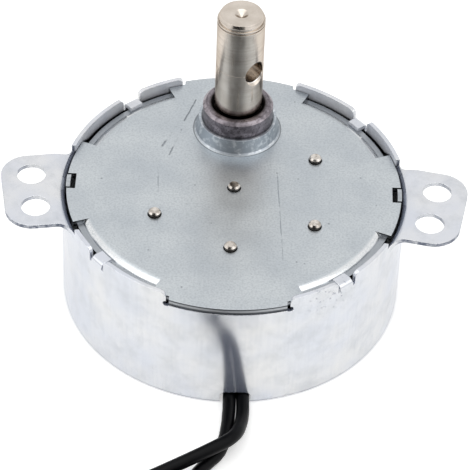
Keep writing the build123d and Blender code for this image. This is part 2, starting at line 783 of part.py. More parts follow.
# Ledge: the cover's plate rolled over a round crest and stepped down along one arc of its edge
ledge_arc = ledge_end - ledge_start
with BuildPart() as ledge:
    with BuildSketch(Plane.XZ):
        with BuildLine():
            crest_foot = (ledge_crest_end, cover_top - ledge_crest_fall)
            TangentArc((ledge_inner_radius, cover_top), crest_foot, tangent=(1, 0))
            Polyline(
                crest_foot,
                (ledge_foot, ledge_top),
                (ledge_outer_radius, ledge_top),
                (ledge_outer_radius, ledge_bottom),
                (ledge_foot - cover_sheet, ledge_bottom),
                (ledge_inner_radius, cover_bottom),
                (ledge_inner_radius - cover_sheet, cover_bottom),
                (ledge_inner_radius - cover_sheet, cover_top),
                (ledge_inner_radius, cover_top),
            )
        make_face()
    revolve(axis=Axis.Z, revolution_arc=ledge_arc)

ledge_starts = [ledge_start - 90, 90 - ledge_end, 90 + ledge_start, 270 - ledge_end]
with BuildPart() as cover:
    # round plate with its two lobes
    with BuildSketch(Plane.XY.offset(cover_bottom)):
        Circle(can_radius)
        Rectangle(2 * lobe_half_width, can_diameter, mode=Mode.INTERSECT)
        Circle(cover_radius)
    extrude(amount=cover_sheet)
    # the plate's edge gives way to the four ledges
    for start in ledge_starts:
        with BuildSketch(Plane.XY.offset(cover_bottom)):
            with BuildLine():
                reach = can_diameter
                first = polar(reach, start)
                last = polar(reach, start + ledge_arc)
                Polyline((0, 0), first, last, close=True)
            make_face()
            Circle(ledge_inner_radius - cover_sheet, mode=Mode.SUBTRACT)
        extrude(amount=cover_sheet, mode=Mode.SUBTRACT)
    with PolarLocations(0, 1):
        for start in ledge_starts:
            add(ledge.part.rotate(Axis.Z, start))
    # slots for the gear plate's legs
    with BuildSketch(Plane.XY.offset(cover_bottom)):
        with PolarLocations(cover_radius, 2):
            Rectangle(2 * leg_slot_depth, leg_slot_width)
    extrude(amount=cover_sheet, mode=Mode.SUBTRACT)
    # drawn collar for the bush
    with BuildSketch(Plane.XZ.offset(-shaft_offset)):
        with BuildLine():
            Polyline(
                (0, cover_bottom),
                (collar_base_diameter / 2 + collar_root_round, cover_bottom),
                (collar_base_diameter / 2 + collar_root_round, cover_top),
                (collar_base_diameter / 2, cover_top + collar_root_round),
                (collar_rim_diameter / 2, collar_top),
                (0, collar_top),
                close=True,
            )
        make_face()
    revolve(axis=Axis((0, shaft_offset, 0), (0, 0, 1)))
    with Locations((0, shaft_offset, collar_top)):
        Hole(radius=bush_radius + press_gap)
    # holes for the axle ends
    with Locations(*[(x, y, cover_top) for x, y in [centre] + axle_places]):
        Hole(radius=pin_radius + pin_hole_gap)
cover.part.label = "cover"
export_step(cover.part, "parts/cover.step")


def turn_radii(points):
    """A bend radius for each inner point of a route, from its shorter run and its turn."""
    radii = []
    for before, here, after in zip(points, points[1:], points[2:]):
        run_in, run_out = Vector(*here) - Vector(*before), Vector(*after) - Vector(*here)
        turn = math.radians(run_in.get_angle(run_out))
        radii.append(bend_share * min(run_in.length, run_out.length) / math.tan(turn / 2))
    return radii


def coil_turns(start, heading, radius):
    """Half turns (start, middle, end) of a coil that winds inward, climbs one layer and winds out again."""
    along = Vector(heading[0], heading[1], 0).normalized()
    inward = Vector(-along.Y, along.X, 0)
    here = Vector(*start)
    turns = []
    for count, steps in enumerate(coil_turn_steps):
        size = radius - steps * coil_step
        side = inward
        if count == coil_climb_turn:
            rise = math.asin(coil_layer / (2 * size))
            side = inward * math.cos(rise) + Vector(0, 0, math.sin(rise))
        middle = here + side * size + along * size
        end = here + side * (2 * size)
        turns.append((here, middle, end))
        here, along, inward = end, -along, -inward
    return turns, along


def least_gap(turns):
    """The least clear distance between turns of a coil that don't adjoin, on points spaced along them."""
    rows = []
    for start, middle, end in turns:
        centre_point = (start + end) / 2
        u, v = start - centre_point, middle - centre_point
        steps = range(coil_sample_count + 1)
        angles = [math.pi * step / coil_sample_count for step in steps]
        rows.append([centre_point + u * math.cos(a) + v * math.sin(a) for a in angles])
    gaps = []
    for first, row in enumerate(rows):
        for other in rows[first + 2 :]:
            gaps.append(min((p - q).length for p in row for q in other))
    return min(gaps) - lead_diameter


# Leads: routes chosen by hand, from inside the bobbin's slot to the coil
bend_share = 0.45
coil_turn_steps = (0, 1, 2, 3, 2, 1, 0)
coil_climb_turn = 3
coil_sample_count = 24
lead_height = lead_lift + lead_radius
lead_a_start = (lead_exit_x - lead_spacing / 2, -lead_inner_end, lead_height)
lead_b_start = (lead_exit_x + lead_spacing / 2, -lead_inner_end, lead_height)
lead_a_route = [
    lead_a_start,
    (0.75, -32.0, lead_height),
    (-2.5, -39.2, lead_height),
    (-5.0, -45.4, coil_lift),
    (-7.2, -51.4, coil_lift),
]
lead_b_route = [
    lead_b_start,
    (2.65, -31.0, lead_height),
    (0.6, -36.2, 3.8),
    (-7.6, -40.6, 2.6),
    (-17.4, -44.4, 2.0),
    (-28.2, -49.9, coil_lift),
]
for route in (lead_a_route, lead_b_route):
    print("lead bend radii", [round(radius, 1) for radius in turn_radii(route)])

with BuildPart() as lead_a_run:
    with BuildLine() as lead_a_path:
        FilletPolyline(*lead_a_route, radius=turn_radii(lead_a_route))
    with BuildSketch(Plane(origin=lead_a_path.wire() @ 0, z_dir=lead_a_path.wire() % 0)):
        Circle(lead_radius)
    sweep(path=lead_a_path.wire())
lead_a_run.part.label = "lead_a_run"
export_step(lead_a_run.part, "parts/lead_a_run.step")

with BuildPart() as lead_b_run:
    with BuildLine() as lead_b_path:
        FilletPolyline(*lead_b_route, radius=turn_radii(lead_b_route))
    with BuildSketch(Plane(origin=lead_b_path.wire() @ 0, z_dir=lead_b_path.wire() % 0)):
        Circle(lead_radius)
    sweep(path=lead_b_path.wire())
lead_b_run.part.label = "lead_b_run"
export_step(lead_b_run.part, "parts/lead_b_run.step")

# Coils, each with a bare tip at its end and a tie round its turns
lead_a_heading = (lead_a_route[-1][0] - lead_a_route[-2][0], lead_a_route[-1][1] - lead_a_route[-2][1])
lead_b_heading = (lead_b_route[-1][0] - lead_b_route[-2][0], lead_b_route[-1][1] - lead_b_route[-2][1])
coil_a_turns, coil_a_leave = coil_turns(lead_a_route[-1], lead_a_heading, coil_a_radius)
coil_b_turns, coil_b_leave = coil_turns(lead_b_route[-1], lead_b_heading, coil_b_radius)
print("least gap in the coils", round(least_gap(coil_a_turns), 2), round(least_gap(coil_b_turns), 2))
coil_a_end = coil_a_turns[-1][2] + coil_a_leave * coil_tail
coil_b_end = coil_b_turns[-1][2] + coil_b_leave * coil_tail

with BuildPart() as lead_a_coil:
    with BuildLine() as coil_a_path:
        for coil_start, coil_middle, coil_end in coil_a_turns:
            ThreePointArc(coil_start, coil_middle, coil_end)
        Line(coil_a_turns[-1][2], coil_a_end)
    with BuildSketch(Plane(origin=coil_a_path.wire() @ 0, z_dir=coil_a_path.wire() % 0)):
        Circle(lead_radius)
    sweep(path=coil_a_path.wire())
lead_a_coil.part.label = "lead_a_coil"
export_step(lead_a_coil.part, "parts/lead_a_coil.step")

with BuildPart() as lead_b_coil:
    with BuildLine() as coil_b_path:
        for coil_start, coil_middle, coil_end in coil_b_turns:
            ThreePointArc(coil_start, coil_middle, coil_end)
        Line(coil_b_turns[-1][2], coil_b_end)
    with BuildSketch(Plane(origin=coil_b_path.wire() @ 0, z_dir=coil_b_path.wire() % 0)):
        Circle(lead_radius)
    sweep(path=coil_b_path.wire())
lead_b_coil.part.label = "lead_b_coil"
export_step(lead_b_coil.part, "parts/lead_b_coil.step")

with BuildPart() as lead_a_tip:
    with BuildSketch(Plane(origin=coil_a_end, z_dir=coil_a_leave)):
        Circle(tip_diameter / 2)
    extrude(amount=tip_length)
lead_a_tip.part.label = "lead_a_tip"
export_step(lead_a_tip.part, "parts/lead_a_tip.step")

with BuildPart() as lead_b_tip:
    with BuildSketch(Plane(origin=coil_b_end, z_dir=coil_b_leave)):
        Circle(tip_diameter / 2)
    extrude(amount=tip_length)
lead_b_tip.part.label = "lead_b_tip"
export_step(lead_b_tip.part, "parts/lead_b_tip.step")


def tie_plane(turns):
    """Plane across a coil's bundle where its first, third, fifth and last half turns run side by side."""
    middles = [middle for start, middle, end in turns[::2]]
    place = sum(middles, Vector(0, 0, 0)) / len(middles)
    across = (middles[0] - middles[1]).normalized()
    return Plane(origin=place, x_dir=across, z_dir=across.cross(Vector(0, 0, 1)))


tie_inner_width = 2 * coil_step + lead_diameter + 2 * tie_gap
tie_inner_height = coil_layer + lead_diameter + 2 * tie_gap
with BuildPart() as lead_a_tie:
    with BuildSketch(tie_plane(coil_a_turns)):
        RectangleRounded(tie_inner_width + 2 * tie_sheet, tie_inner_height + 2 * tie_sheet, tie_corner + tie_sheet)
        RectangleRounded(tie_inner_width, tie_inner_height, tie_corner, mode=Mode.SUBTRACT)
    extrude(amount=tie_width / 2, both=True)
lead_a_tie.part.label = "lead_a_tie"
export_step(lead_a_tie.part, "parts/lead_a_tie.step")

with BuildPart() as lead_b_tie:
    with BuildSketch(tie_plane(coil_b_turns)):
        RectangleRounded(tie_inner_width + 2 * tie_sheet, tie_inner_height + 2 * tie_sheet, tie_corner + tie_sheet)
        RectangleRounded(tie_inner_width, tie_inner_height, tie_corner, mode=Mode.SUBTRACT)
    extrude(amount=tie_width / 2, both=True)
lead_b_tie.part.label = "lead_b_tie"
export_step(lead_b_tie.part, "parts/lead_b_tie.step")

# Lengths of the leads beyond the can, and each swept volume against its section times its length
lead_section = math.pi * lead_radius**2
inside = can_radius - lead_inner_end
for run, path, coil, coil_path in (
    (lead_a_run, lead_a_path, lead_a_coil, coil_a_path),
    (lead_b_run, lead_b_path, lead_b_coil, coil_b_path),
):
    run_length, coil_length = path.wire().length, coil_path.wire().length
    print("free length", round(run_length - inside + coil_length + tip_length, 1))
    print("volume shares", run.part.volume / (lead_section * run_length), coil.part.volume / (lead_section * coil_length))
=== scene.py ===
# %% [markdown]
# # A synchronous gear motor, dressed for the studio
#
# The motor is a drawn steel can with a crimped cover, an offset output shaft, two mounting ears and
# two black leads. Its solids come from the CAD part and are never moved. This lesson gives them
# their finishes, lays the two leads as flexible cords, and sets up the camera, floor and light of a
# catalogue photograph.

# %% Load the part
import math

import bpy
import numpy as np
from mathutils import Matrix, Vector


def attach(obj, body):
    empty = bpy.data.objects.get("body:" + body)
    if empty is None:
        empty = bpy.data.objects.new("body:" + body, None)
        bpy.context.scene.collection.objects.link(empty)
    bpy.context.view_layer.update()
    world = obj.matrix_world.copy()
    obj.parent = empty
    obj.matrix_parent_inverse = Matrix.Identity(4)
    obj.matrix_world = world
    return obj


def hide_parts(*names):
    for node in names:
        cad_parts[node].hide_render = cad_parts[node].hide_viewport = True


MM = 0.001
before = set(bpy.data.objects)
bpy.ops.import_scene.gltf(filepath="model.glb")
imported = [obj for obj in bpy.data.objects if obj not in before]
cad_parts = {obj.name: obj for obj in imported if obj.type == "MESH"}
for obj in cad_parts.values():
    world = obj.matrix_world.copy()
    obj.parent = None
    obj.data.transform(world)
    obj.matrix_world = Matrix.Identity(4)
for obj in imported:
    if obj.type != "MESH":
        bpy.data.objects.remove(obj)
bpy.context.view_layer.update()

# %% [markdown]
# ## The camera
#
# The photograph was taken from the leads' side, a good way above the motor, with a long lens and a
# slight tilt. A camera can be placed by eye, but its angle, distance and focal length were fitted
# to the outline of the can, the pins and the shaft, so that the drawing and the photograph can be
# laid over each other.

# %% Camera
IMAGE_PX = 470
FOCAL_PX = 2403.22
ELEVATION, AZIMUTH, ROLL = (math.radians(angle) for angle in (43.314, 0.323, 2.369))
DISTANCE, SIDE_STEP, RISE, LIFT = 361.415 * MM, 0.418 * MM, 6.62 * MM, 0.3 * MM

towards = Vector(
    (
        math.sin(AZIMUTH) * math.cos(ELEVATION),
        -math.cos(AZIMUTH) * math.cos(ELEVATION),
        math.sin(ELEVATION),
    )
)
level = Vector((math.cos(AZIMUTH), math.sin(AZIMUTH), 0))
upright = towards.cross(level)
place = DISTANCE * towards + SIDE_STEP * level + RISE * upright + Vector((0, 0, LIFT))
right = math.cos(ROLL) * level + math.sin(ROLL) * upright
above = math.cos(ROLL) * upright - math.sin(ROLL) * level

camera_data = bpy.data.cameras.new("camera")
camera_data.sensor_fit = "HORIZONTAL"
camera_data.sensor_width = 36
camera_data.lens = camera_data.sensor_width * FOCAL_PX / IMAGE_PX
camera_data.clip_start = 0.01
camera = bpy.data.objects.new("camera", camera_data)
camera.matrix_world = Matrix(
    [[right[i], above[i], towards[i], place[i]] for i in range(3)] + [[0, 0, 0, 1]]
)
bpy.context.collection.objects.link(camera)
bpy.context.scene.camera = camera
bpy.context.scene.view_settings.view_transform = "Standard"
print("lens", round(camera_data.lens, 1), "mm")

# %% [markdown]
# ## Helpers for materials
#
# Every finish below is a short node tree. Colours are written as the hex values a paint chart would
# give, and one function turns them to the linear light that Blender works in. Another adds a node
# with its settings and its links, so that each tree reads as a list of what it does.


# %% Helpers for materials
def linear(colour):
    """An sRGB hex colour as linear red, green, blue and alpha.

    Each channel s becomes ((s + 0.055) / 1.055) ** 2.4, or s / 12.92 up to 0.04045.
    """
    s = np.array([int(colour[i : i + 2], 16) for i in (1, 3, 5)]) / 255
    light = np.where(s > 0.04045, ((s + 0.055) / 1.055) ** 2.4, s / 12.92)
    return (*light.tolist(), 1.0)


def add_node(tree, kind, inputs=(), **settings):
    """Add one shader node. settings are its own properties; inputs pairs a socket's name or number
    with a value, a socket to link, or a node, whose first live output is linked."""
    node = tree.nodes.new("ShaderNode" + kind)
    for name, value in settings.items():
        setattr(node, name, value)
    for name, value in dict(inputs).items():
        if isinstance(value, bpy.types.Node):
            value = next(socket for socket in value.outputs if socket.enabled)
        if isinstance(value, bpy.types.NodeSocket):
            tree.links.new(value, node.inputs[name])
        else:
            node.inputs[name].default_value = value
    return node


def blank_finish(name):
    """A material with an empty node tree."""
    material = bpy.data.materials.new(name)
    material.use_nodes = True
    material.node_tree.nodes.clear()
    return material, material.node_tree


finishes = {}
print("#808080 is", round(linear("#808080")[0], 3), "in linear light")

# %% [markdown]
# ## The can: bright zinc on drawn steel
#
# The can is pressed from steel strip in a deep-drawing die and zinc plated. It comes out bright and
# a little milky, with soft clouds where the bath dried, faint lines up the wall where the sheet
# slid over the die, and dull, nicked edges where the ears were sheared. A blue passivation film
# lies over the zinc. It could be left out, but it scatters a little light, so that even the mirror
# image of the black leads in the wall stays blue grey.

# %% Where on the can a point lies
CAN_RADIUS = 25 * MM
# a factor that keeps a place's x and y and drops its height
IN_PLAN = (1, 1, 0)

material, tree = blank_finish("zinc_plated_drawn_steel")
finishes["can"] = material
where = add_node(tree, "TexCoord")
spot = where.outputs["Object"]
axes = add_node(tree, "SeparateXYZ", {"Vector": spot}).outputs
facing = add_node(tree, "SeparateXYZ", {"Vector": where.outputs["Normal"]}).outputs["Z"]
upward = add_node(tree, "Math", {0: facing}, operation="ABSOLUTE")
steep = add_node(tree, "MapRange", {"Value": upward, "From Min": 0.5, "From Max": 0.25})
plan = add_node(tree, "VectorMath", {0: spot, 1: IN_PLAN}, operation="MULTIPLY")
reach = add_node(tree, "VectorMath", {0: plan}, operation="LENGTH").outputs["Value"]
angle = add_node(tree, "Math", {0: axes["Y"], 1: axes["X"]}, operation="ARCTAN2")
girth = add_node(tree, "Math", {0: angle, 1: CAN_RADIUS}, operation="MULTIPLY")
print("place on the can:", len(tree.nodes), "nodes")

# %% Zinc clouds and draw lines
# handling leaves smudges a few millimetres across; draw lines are a few hundredths of a millimetre
# wide, and 0.35 mm is as fine as the picture shows
CLOUD, SMUDGE, DRAW_LINE = 8 * MM, 3.5 * MM, 0.35 * MM
# heights count for a twentieth, which draws the noise out into lines
LINE_STRETCH = 0.05

cloud = add_node(tree, "TexNoise", {"Vector": spot, "Scale": 1 / CLOUD, "Detail": 3.0})
clouded = add_node(tree, "MapRange", {"Value": cloud, "From Min": 0.36, "From Max": 0.64})
zinc = add_node(
    tree,
    "Mix",
    {"Factor": clouded, "A": linear("#DFE1E4"), "B": linear("#EBEAE6")},
    data_type="RGBA",
)
smudge = add_node(
    tree, "TexNoise", {"Vector": spot, "Scale": 1 / SMUDGE, "Detail": 6.0, "Roughness": 0.65}
)
smudged = add_node(
    tree, "MapRange", {"Value": smudge, "From Min": 0.45, "From Max": 0.7, "To Max": 0.45}
)
zinc = add_node(
    tree, "Mix", {"Factor": smudged, "A": zinc, "B": linear("#BDBFBE")}, data_type="RGBA"
)
run = add_node(tree, "Math", {0: axes["Z"], 1: LINE_STRETCH}, operation="MULTIPLY")
unrolled = add_node(tree, "CombineXYZ", {"X": girth, "Y": run})
lines = add_node(tree, "TexNoise", {"Vector": unrolled, "Scale": 1 / DRAW_LINE, "Detail": 2.0})
lined = add_node(
    tree, "MapRange", {"Value": lines, "From Min": 0.4, "From Max": 0.7, "To Max": 0.1}
)
on_wall = add_node(tree, "Math", {0: lined, 1: steep}, operation="MULTIPLY")
drawn = add_node(
    tree, "Mix", {"Factor": on_wall, "A": zinc, "B": linear("#AEB4BC")}, data_type="RGBA"
)
print("with clouds and draw lines:", len(tree.nodes), "nodes")

# %% Sheared edges
# beyond the can's radius only the ears are left; the punch leaves the walls of their holes brighter
# than the sheared outline, and both ears are alike, so x is folded over
SPECK = 0.5 * MM
EAR_HOLE_RADIUS = 2.1 * MM
EAR_HOLES = ((29.41 * MM, -0.12 * MM, 0), (28.17 * MM, -6.85 * MM, 0))

speck = add_node(tree, "TexNoise", {"Vector": spot, "Scale": 1 / SPECK, "Detail": 4.0})
outside = add_node(
    tree,
    "MapRange",
    {"Value": reach, "From Min": CAN_RADIUS + 0.4 * MM, "From Max": CAN_RADIUS + 1 * MM},
)
edge = add_node(tree, "Math", {0: outside, 1: steep}, operation="MULTIPLY")
nicked = add_node(
    tree,
    "MapRange",
    {"Value": speck, "From Min": 0.35, "From Max": 0.6, "To Min": 0.35, "To Max": 1.0},
)
sheared = add_node(tree, "Math", {0: edge, 1: nicked}, operation="MULTIPLY")
folded = add_node(tree, "Math", {0: axes["X"]}, operation="ABSOLUTE")
folded = add_node(tree, "CombineXYZ", {"X": folded, "Y": axes["Y"]})
for hole in EAR_HOLES:
    off_hole = add_node(tree, "VectorMath", {0: folded, 1: hole}, operation="DISTANCE")
    spared = add_node(
        tree,
        "MapRange",
        {
            "Value": off_hole.outputs["Value"],
            "From Min": EAR_HOLE_RADIUS + 0.2 * MM,
            "From Max": EAR_HOLE_RADIUS + 0.5 * MM,
            "To Min": 0.35,
        },
    )
    sheared = add_node(tree, "Math", {0: sheared, 1: spared}, operation="MULTIPLY")
darkened = add_node(
    tree, "Mix", {"Factor": sheared, "A": drawn, "B": linear("#63666C")}, data_type="RGBA"
)
print("with sheared edges:", len(tree.nodes), "nodes")

# %% Scuffs, specks and painted shade at the foot
# the crimping tool scuffs the wall under the rim, beside the right front tab; the foot rubs along
# the bench, which leaves it specked, and its bottom edge is painted grey as shade at the floor
SCUFF_PLACE = (14.3 * MM, -20.5 * MM, 18.6 * MM)

off_tool = add_node(tree, "VectorMath", {0: spot, 1: SCUFF_PLACE}, operation="DISTANCE")
near_tool = add_node(
    tree,
    "MapRange",
    {"Value": off_tool.outputs["Value"], "From Min": 5 * MM, "From Max": 2 * MM},
)
bits = add_node(
    tree, "MapRange", {"Value": speck, "From Min": 0.58, "From Max": 0.7, "To Max": 0.6}
)
scuffs = add_node(tree, "Math", {0: near_tool, 1: bits}, operation="MULTIPLY")
low = add_node(
    tree, "MapRange", {"Value": axes["Z"], "From Min": 0.9 * MM, "From Max": 0.2 * MM}
)
wear_and_painted_light = add_node(tree, "Math", {0: low, 1: bits}, operation="MULTIPLY")
# painted shade: the bottom half millimetre of the wall is darkened where it meets the floor
foot_shade = add_node(
    tree,
    "MapRange",
    {"Value": axes["Z"], "From Min": 0.5 * MM, "From Max": 0.15 * MM, "To Max": 0.75},
)
wear_and_painted_light = add_node(tree, "Math", {0: wear_and_painted_light, 1: foot_shade}, operation="MAXIMUM")
marks_and_foot_shade = add_node(tree, "Math", {0: scuffs, 1: wear_and_painted_light}, operation="MAXIMUM")
marked_and_shaded = add_node(
    tree, "Mix", {"Factor": marks_and_foot_shade, "A": darkened, "B": linear("#6F7379")}, data_type="RGBA"
)
print("with scuffs:", len(tree.nodes), "nodes")

# %% The inside of the wall
# the crimping tool rubs the lips dull above the cover; the wall below it is painted dark as shade
# in the gap under the cover; at the ledges, more than 9 mm to the front or back, the tool reaches
# further down
WALL_INSIDE = 24.5 * MM
SHADE_LEVEL = 18.4 * MM
LEDGES_FROM, LEDGE_REACH = 9 * MM, 0.8 * MM

within = add_node(
    tree, "MapRange", {"Value": reach, "From Min": WALL_INSIDE + 0.2 * MM, "From Max": WALL_INSIDE}
)
inside = add_node(tree, "Math", {0: within, 1: steep}, operation="MULTIPLY")
off_middle = add_node(tree, "Math", {0: axes["Y"]}, operation="ABSOLUTE")
deeper = add_node(
    tree,
    "MapRange",
    {
        "Value": off_middle,
        "From Min": LEDGES_FROM,
        "From Max": LEDGES_FROM + 1.5 * MM,
        "To Max": LEDGE_REACH,
    },
)
rubbed_to = add_node(tree, "Math", {0: axes["Z"], 1: deeper}, operation="ADD")
high = add_node(
    tree, "MapRange", {"Value": rubbed_to, "From Min": SHADE_LEVEL, "From Max": SHADE_LEVEL + 0.4 * MM}
)
lip = add_node(tree, "Math", {0: inside, 1: high}, operation="MULTIPLY")
darker_below = add_node(tree, "Math", {0: inside, 1: lip}, operation="SUBTRACT")
# painted shade in the gap round the cover: the inner wall below the lips turns near black
marked_and_shaded = add_node(
    tree, "Mix", {"Factor": darker_below, "A": marked_and_shaded, "B": linear("#2E3033")}, data_type="RGBA"
)
print("with the inside:", len(tree.nodes), "nodes")

# %% The can's shader
FILM_SHARE = 0.17
BEVEL_SAMPLES = 6

rounded = add_node(tree, "Bevel", {"Radius": 0.15 * MM}, samples=BEVEL_SAMPLES)
ripple = add_node(
    tree,
    "Bump",
    {"Height": cloud, "Strength": 0.08, "Distance": 0.05 * MM, "Normal": rounded},
)
gloss = add_node(
    tree,
    "MapRange",
    {"Value": cloud, "From Min": 0.3, "From Max": 0.7, "To Min": 0.13, "To Max": 0.2},
)
dull = add_node(tree, "MapRange", {"Value": sheared, "To Min": 0.0, "To Max": 0.3})
rough = add_node(tree, "Math", {0: gloss, 1: dull}, operation="ADD")
rough = add_node(tree, "MapRange", {"Value": lip, "To Min": rough, "To Max": 0.5})
bare = add_node(tree, "MapRange", {"Value": lip, "To Min": 0.9, "To Max": 0.25})
around = add_node(tree, "Tangent", direction_type="RADIAL", axis="Z")
shader = add_node(
    tree,
    "BsdfPrincipled",
    {
        "Metallic": bare,
        "Anisotropic": 0.3,
        "Anisotropic Rotation": 0.25,
        "Base Color": marked_and_shaded,
        "Roughness": rough,
        "Normal": ripple,
        "Tangent": around,
    },
)
film = add_node(tree, "BsdfDiffuse", {"Color": linear("#AEBDE4"), "Normal": ripple})
# the painted shade in the gap also drops the blue film there
film_share = add_node(tree, "MapRange", {"Value": darker_below, "To Min": FILM_SHARE, "To Max": 0.0})
coated = add_node(tree, "MixShader", {0: film_share, 1: shader, 2: film})
add_node(tree, "OutputMaterial", {"Surface": coated})
print("can finish:", len(tree.nodes), "nodes")

# %% [markdown]
# ## The cover: galvanised sheet with a fine grain
#
# The cover is stamped from thicker galvanised sheet. Its zinc is greyer than the can's, a little
# blue, and has a fine even grain. Stamping burnishes the crests of its four ledges, which are
# painted lighter as a highlight; the sunk floors of the ledges are painted darker as shade, and the
# sheared edge is darker. A few marks come from handling: two hair-line scratches, some diagonal
# rubs beside the collar and dark specks.

# %% Grain
# the zinc's grains are about 0.3 mm across
COVER_CLOUD, GRAIN = 6 * MM, 0.28 * MM

material, tree = blank_finish("galvanised_sheet")
finishes["cover"] = material
where = add_node(tree, "TexCoord")
spot = where.outputs["Object"]
facing = add_node(tree, "SeparateXYZ", {"Vector": where.outputs["Normal"]}).outputs["Z"]
plan = add_node(tree, "VectorMath", {0: spot, 1: IN_PLAN}, operation="MULTIPLY")
reach = add_node(tree, "VectorMath", {0: plan}, operation="LENGTH").outputs["Value"]
cloud = add_node(tree, "TexNoise", {"Vector": spot, "Scale": 1 / COVER_CLOUD, "Detail": 4.0})
clouded = add_node(tree, "MapRange", {"Value": cloud, "From Min": 0.34, "From Max": 0.66})
zinc = add_node(
    tree,
    "Mix",
    {"Factor": clouded, "A": linear("#BAC0C5"), "B": linear("#C5CACD")},
    data_type="RGBA",
)
grain = add_node(tree, "TexNoise", {"Vector": spot, "Scale": 1 / GRAIN, "Detail": 2.0})
dark_grain = add_node(
    tree, "MapRange", {"Value": grain, "From Min": 0.4, "From Max": 0.75, "To Max": 0.6}
)
grained = add_node(
    tree, "Mix", {"Factor": dark_grain, "A": zinc, "B": linear("#9EA4AA")}, data_type="RGBA"
)
print("grain:", len(tree.nodes), "nodes")

# %% Handling marks
# each mark's two ends in plan and its width, in millimetres, how broken it is, and its colour
MARKS = (
    ((6.2, 3.6), (7.4, -15.0), 0.18, 0.42, "#92989E"),
    ((-11.2, 4.0), (-10.4, -13.0), 0.2, 0.52, "#959BA1"),
    ((-6.4, 19.6), (-8.0, 14.2), 0.3, 0.35, "#7F8489"),
    ((-9.0, 13.4), (-11.0, 8.2), 0.4, 0.48, "#868B90"),
    ((-8.2, 12.6), (-9.8, 6.4), 0.3, 0.47, "#878C91"),
)
WANDER, SPECK_SPACING = 2.5 * MM, 3.2 * MM
# the share over which a mark fades at its ends and its gaps
FADE = 0.05


def scratch(tree, spot, start, end, width, breaks):
    """How far a point lies in a straight mark from start to end in plan, from 0 to 1.

    The pattern is turned so that the mark runs up its own Y axis; the mark is where x is under half
    its width and y under half its length, broken up by noise along it.
    """
    (x0, y0), (x1, y1) = start, end
    middle = ((x0 + x1) / 2 * MM, (y0 + y1) / 2 * MM, 0)
    lean = -math.atan2(x1 - x0, y1 - y0)
    length, width = math.hypot(x1 - x0, y1 - y0) * MM, width * MM
    own = add_node(
        tree,
        "Mapping",
        {"Vector": spot, "Location": middle, "Rotation": (0, 0, lean)},
        vector_type="TEXTURE",
    )
    wander = add_node(tree, "TexNoise", {"Vector": own, "Scale": 1 / WANDER, "Detail": 3.0})
    sides = add_node(tree, "SeparateXYZ", {"Vector": own}).outputs
    sway = add_node(tree, "MapRange", {"Value": wander, "To Min": -width, "To Max": width})
    across = add_node(tree, "Math", {0: sides["X"], 1: sway}, operation="SUBTRACT")
    across = add_node(tree, "Math", {0: across}, operation="ABSOLUTE")
    along = add_node(tree, "Math", {0: sides["Y"]}, operation="ABSOLUTE")
    thin = add_node(
        tree, "MapRange", {"Value": across, "From Min": width / 2, "From Max": width / 4}
    )
    ends = add_node(
        tree,
        "MapRange",
        {"Value": along, "From Min": length / 2, "From Max": (0.5 - FADE) * length},
    )
    gaps = add_node(
        tree, "MapRange", {"Value": wander, "From Min": breaks - FADE, "From Max": breaks + FADE}
    )
    line = add_node(tree, "Math", {0: thin, 1: ends}, operation="MULTIPLY")
    return add_node(tree, "Math", {0: line, 1: gaps}, operation="MULTIPLY")


scored = grained
for start, end, width, breaks, colour in MARKS:
    line = scratch(tree, spot, start, end, width, breaks)
    scored = add_node(
        tree, "Mix", {"Factor": line, "A": scored, "B": linear(colour)}, data_type="RGBA"
    )
dots = add_node(tree, "TexVoronoi", {"Vector": plan, "Scale": 1 / SPECK_SPACING})
specks = add_node(
    tree, "MapRange", {"Value": dots, "From Min": 0.06, "From Max": 0.035, "To Max": 0.6}
)
specked = add_node(
    tree, "Mix", {"Factor": specks, "A": scored, "B": linear("#6B7075")}, data_type="RGBA"
)
print("with", len(MARKS), "marks:", len(tree.nodes), "nodes")

# %% Painted crest highlights, painted ledge shade and sheared edge
# the ledges' crests lie between two radii, and where they lean they are painted lighter as a
# highlight; beyond them and below the cover's top, the floors of the ledges are painted darker as
# shade
RIM_FROM, CREST_TO = 21.2 * MM, 22.65 * MM
FLOOR_BELOW, FLOOR_SHADE_SHARE = 18.72 * MM, 0.65

rim = add_node(
    tree, "MapRange", {"Value": reach, "From Min": RIM_FROM, "From Max": RIM_FROM + 0.4 * MM}
)
leaning = add_node(tree, "MapRange", {"Value": facing, "From Min": 0.985, "From Max": 0.94})
crest_highlight = add_node(tree, "Math", {0: rim, 1: leaning}, operation="MULTIPLY")
inner = add_node(
    tree, "MapRange", {"Value": reach, "From Min": CREST_TO + 0.15 * MM, "From Max": CREST_TO}
)
crest_highlight = add_node(tree, "Math", {0: crest_highlight, 1: inner}, operation="MULTIPLY")
patchy = add_node(
    tree,
    "MapRange",
    {"Value": grain, "From Min": 0.35, "From Max": 0.55, "To Min": 0.45, "To Max": 1.0},
)
crest_highlight = add_node(tree, "Math", {0: crest_highlight, 1: patchy}, operation="MULTIPLY")
standing = add_node(tree, "MapRange", {"Value": facing, "From Min": 0.6, "From Max": 0.4})
edge = add_node(tree, "Math", {0: rim, 1: standing}, operation="MULTIPLY")
height = add_node(tree, "SeparateXYZ", {"Vector": spot}).outputs["Z"]
sunk = add_node(
    tree,
    "MapRange",
    {"Value": height, "From Min": FLOOR_BELOW, "From Max": FLOOR_BELOW - 0.17 * MM},
)
outer = add_node(tree, "Math", {0: 1.0, 1: inner}, operation="SUBTRACT")
# painted shade: the sunk floors of the ledges, beside the can's lips, are darkened
ledge_floor_shade = add_node(tree, "Math", {0: sunk, 1: outer}, operation="MULTIPLY")
ledge_floor_shade = add_node(tree, "Math", {0: ledge_floor_shade, 1: FLOOR_SHADE_SHARE}, operation="MULTIPLY")
darkened = add_node(
    tree, "Mix", {"Factor": ledge_floor_shade, "A": specked, "B": linear("#8F9399")}, data_type="RGBA"
)
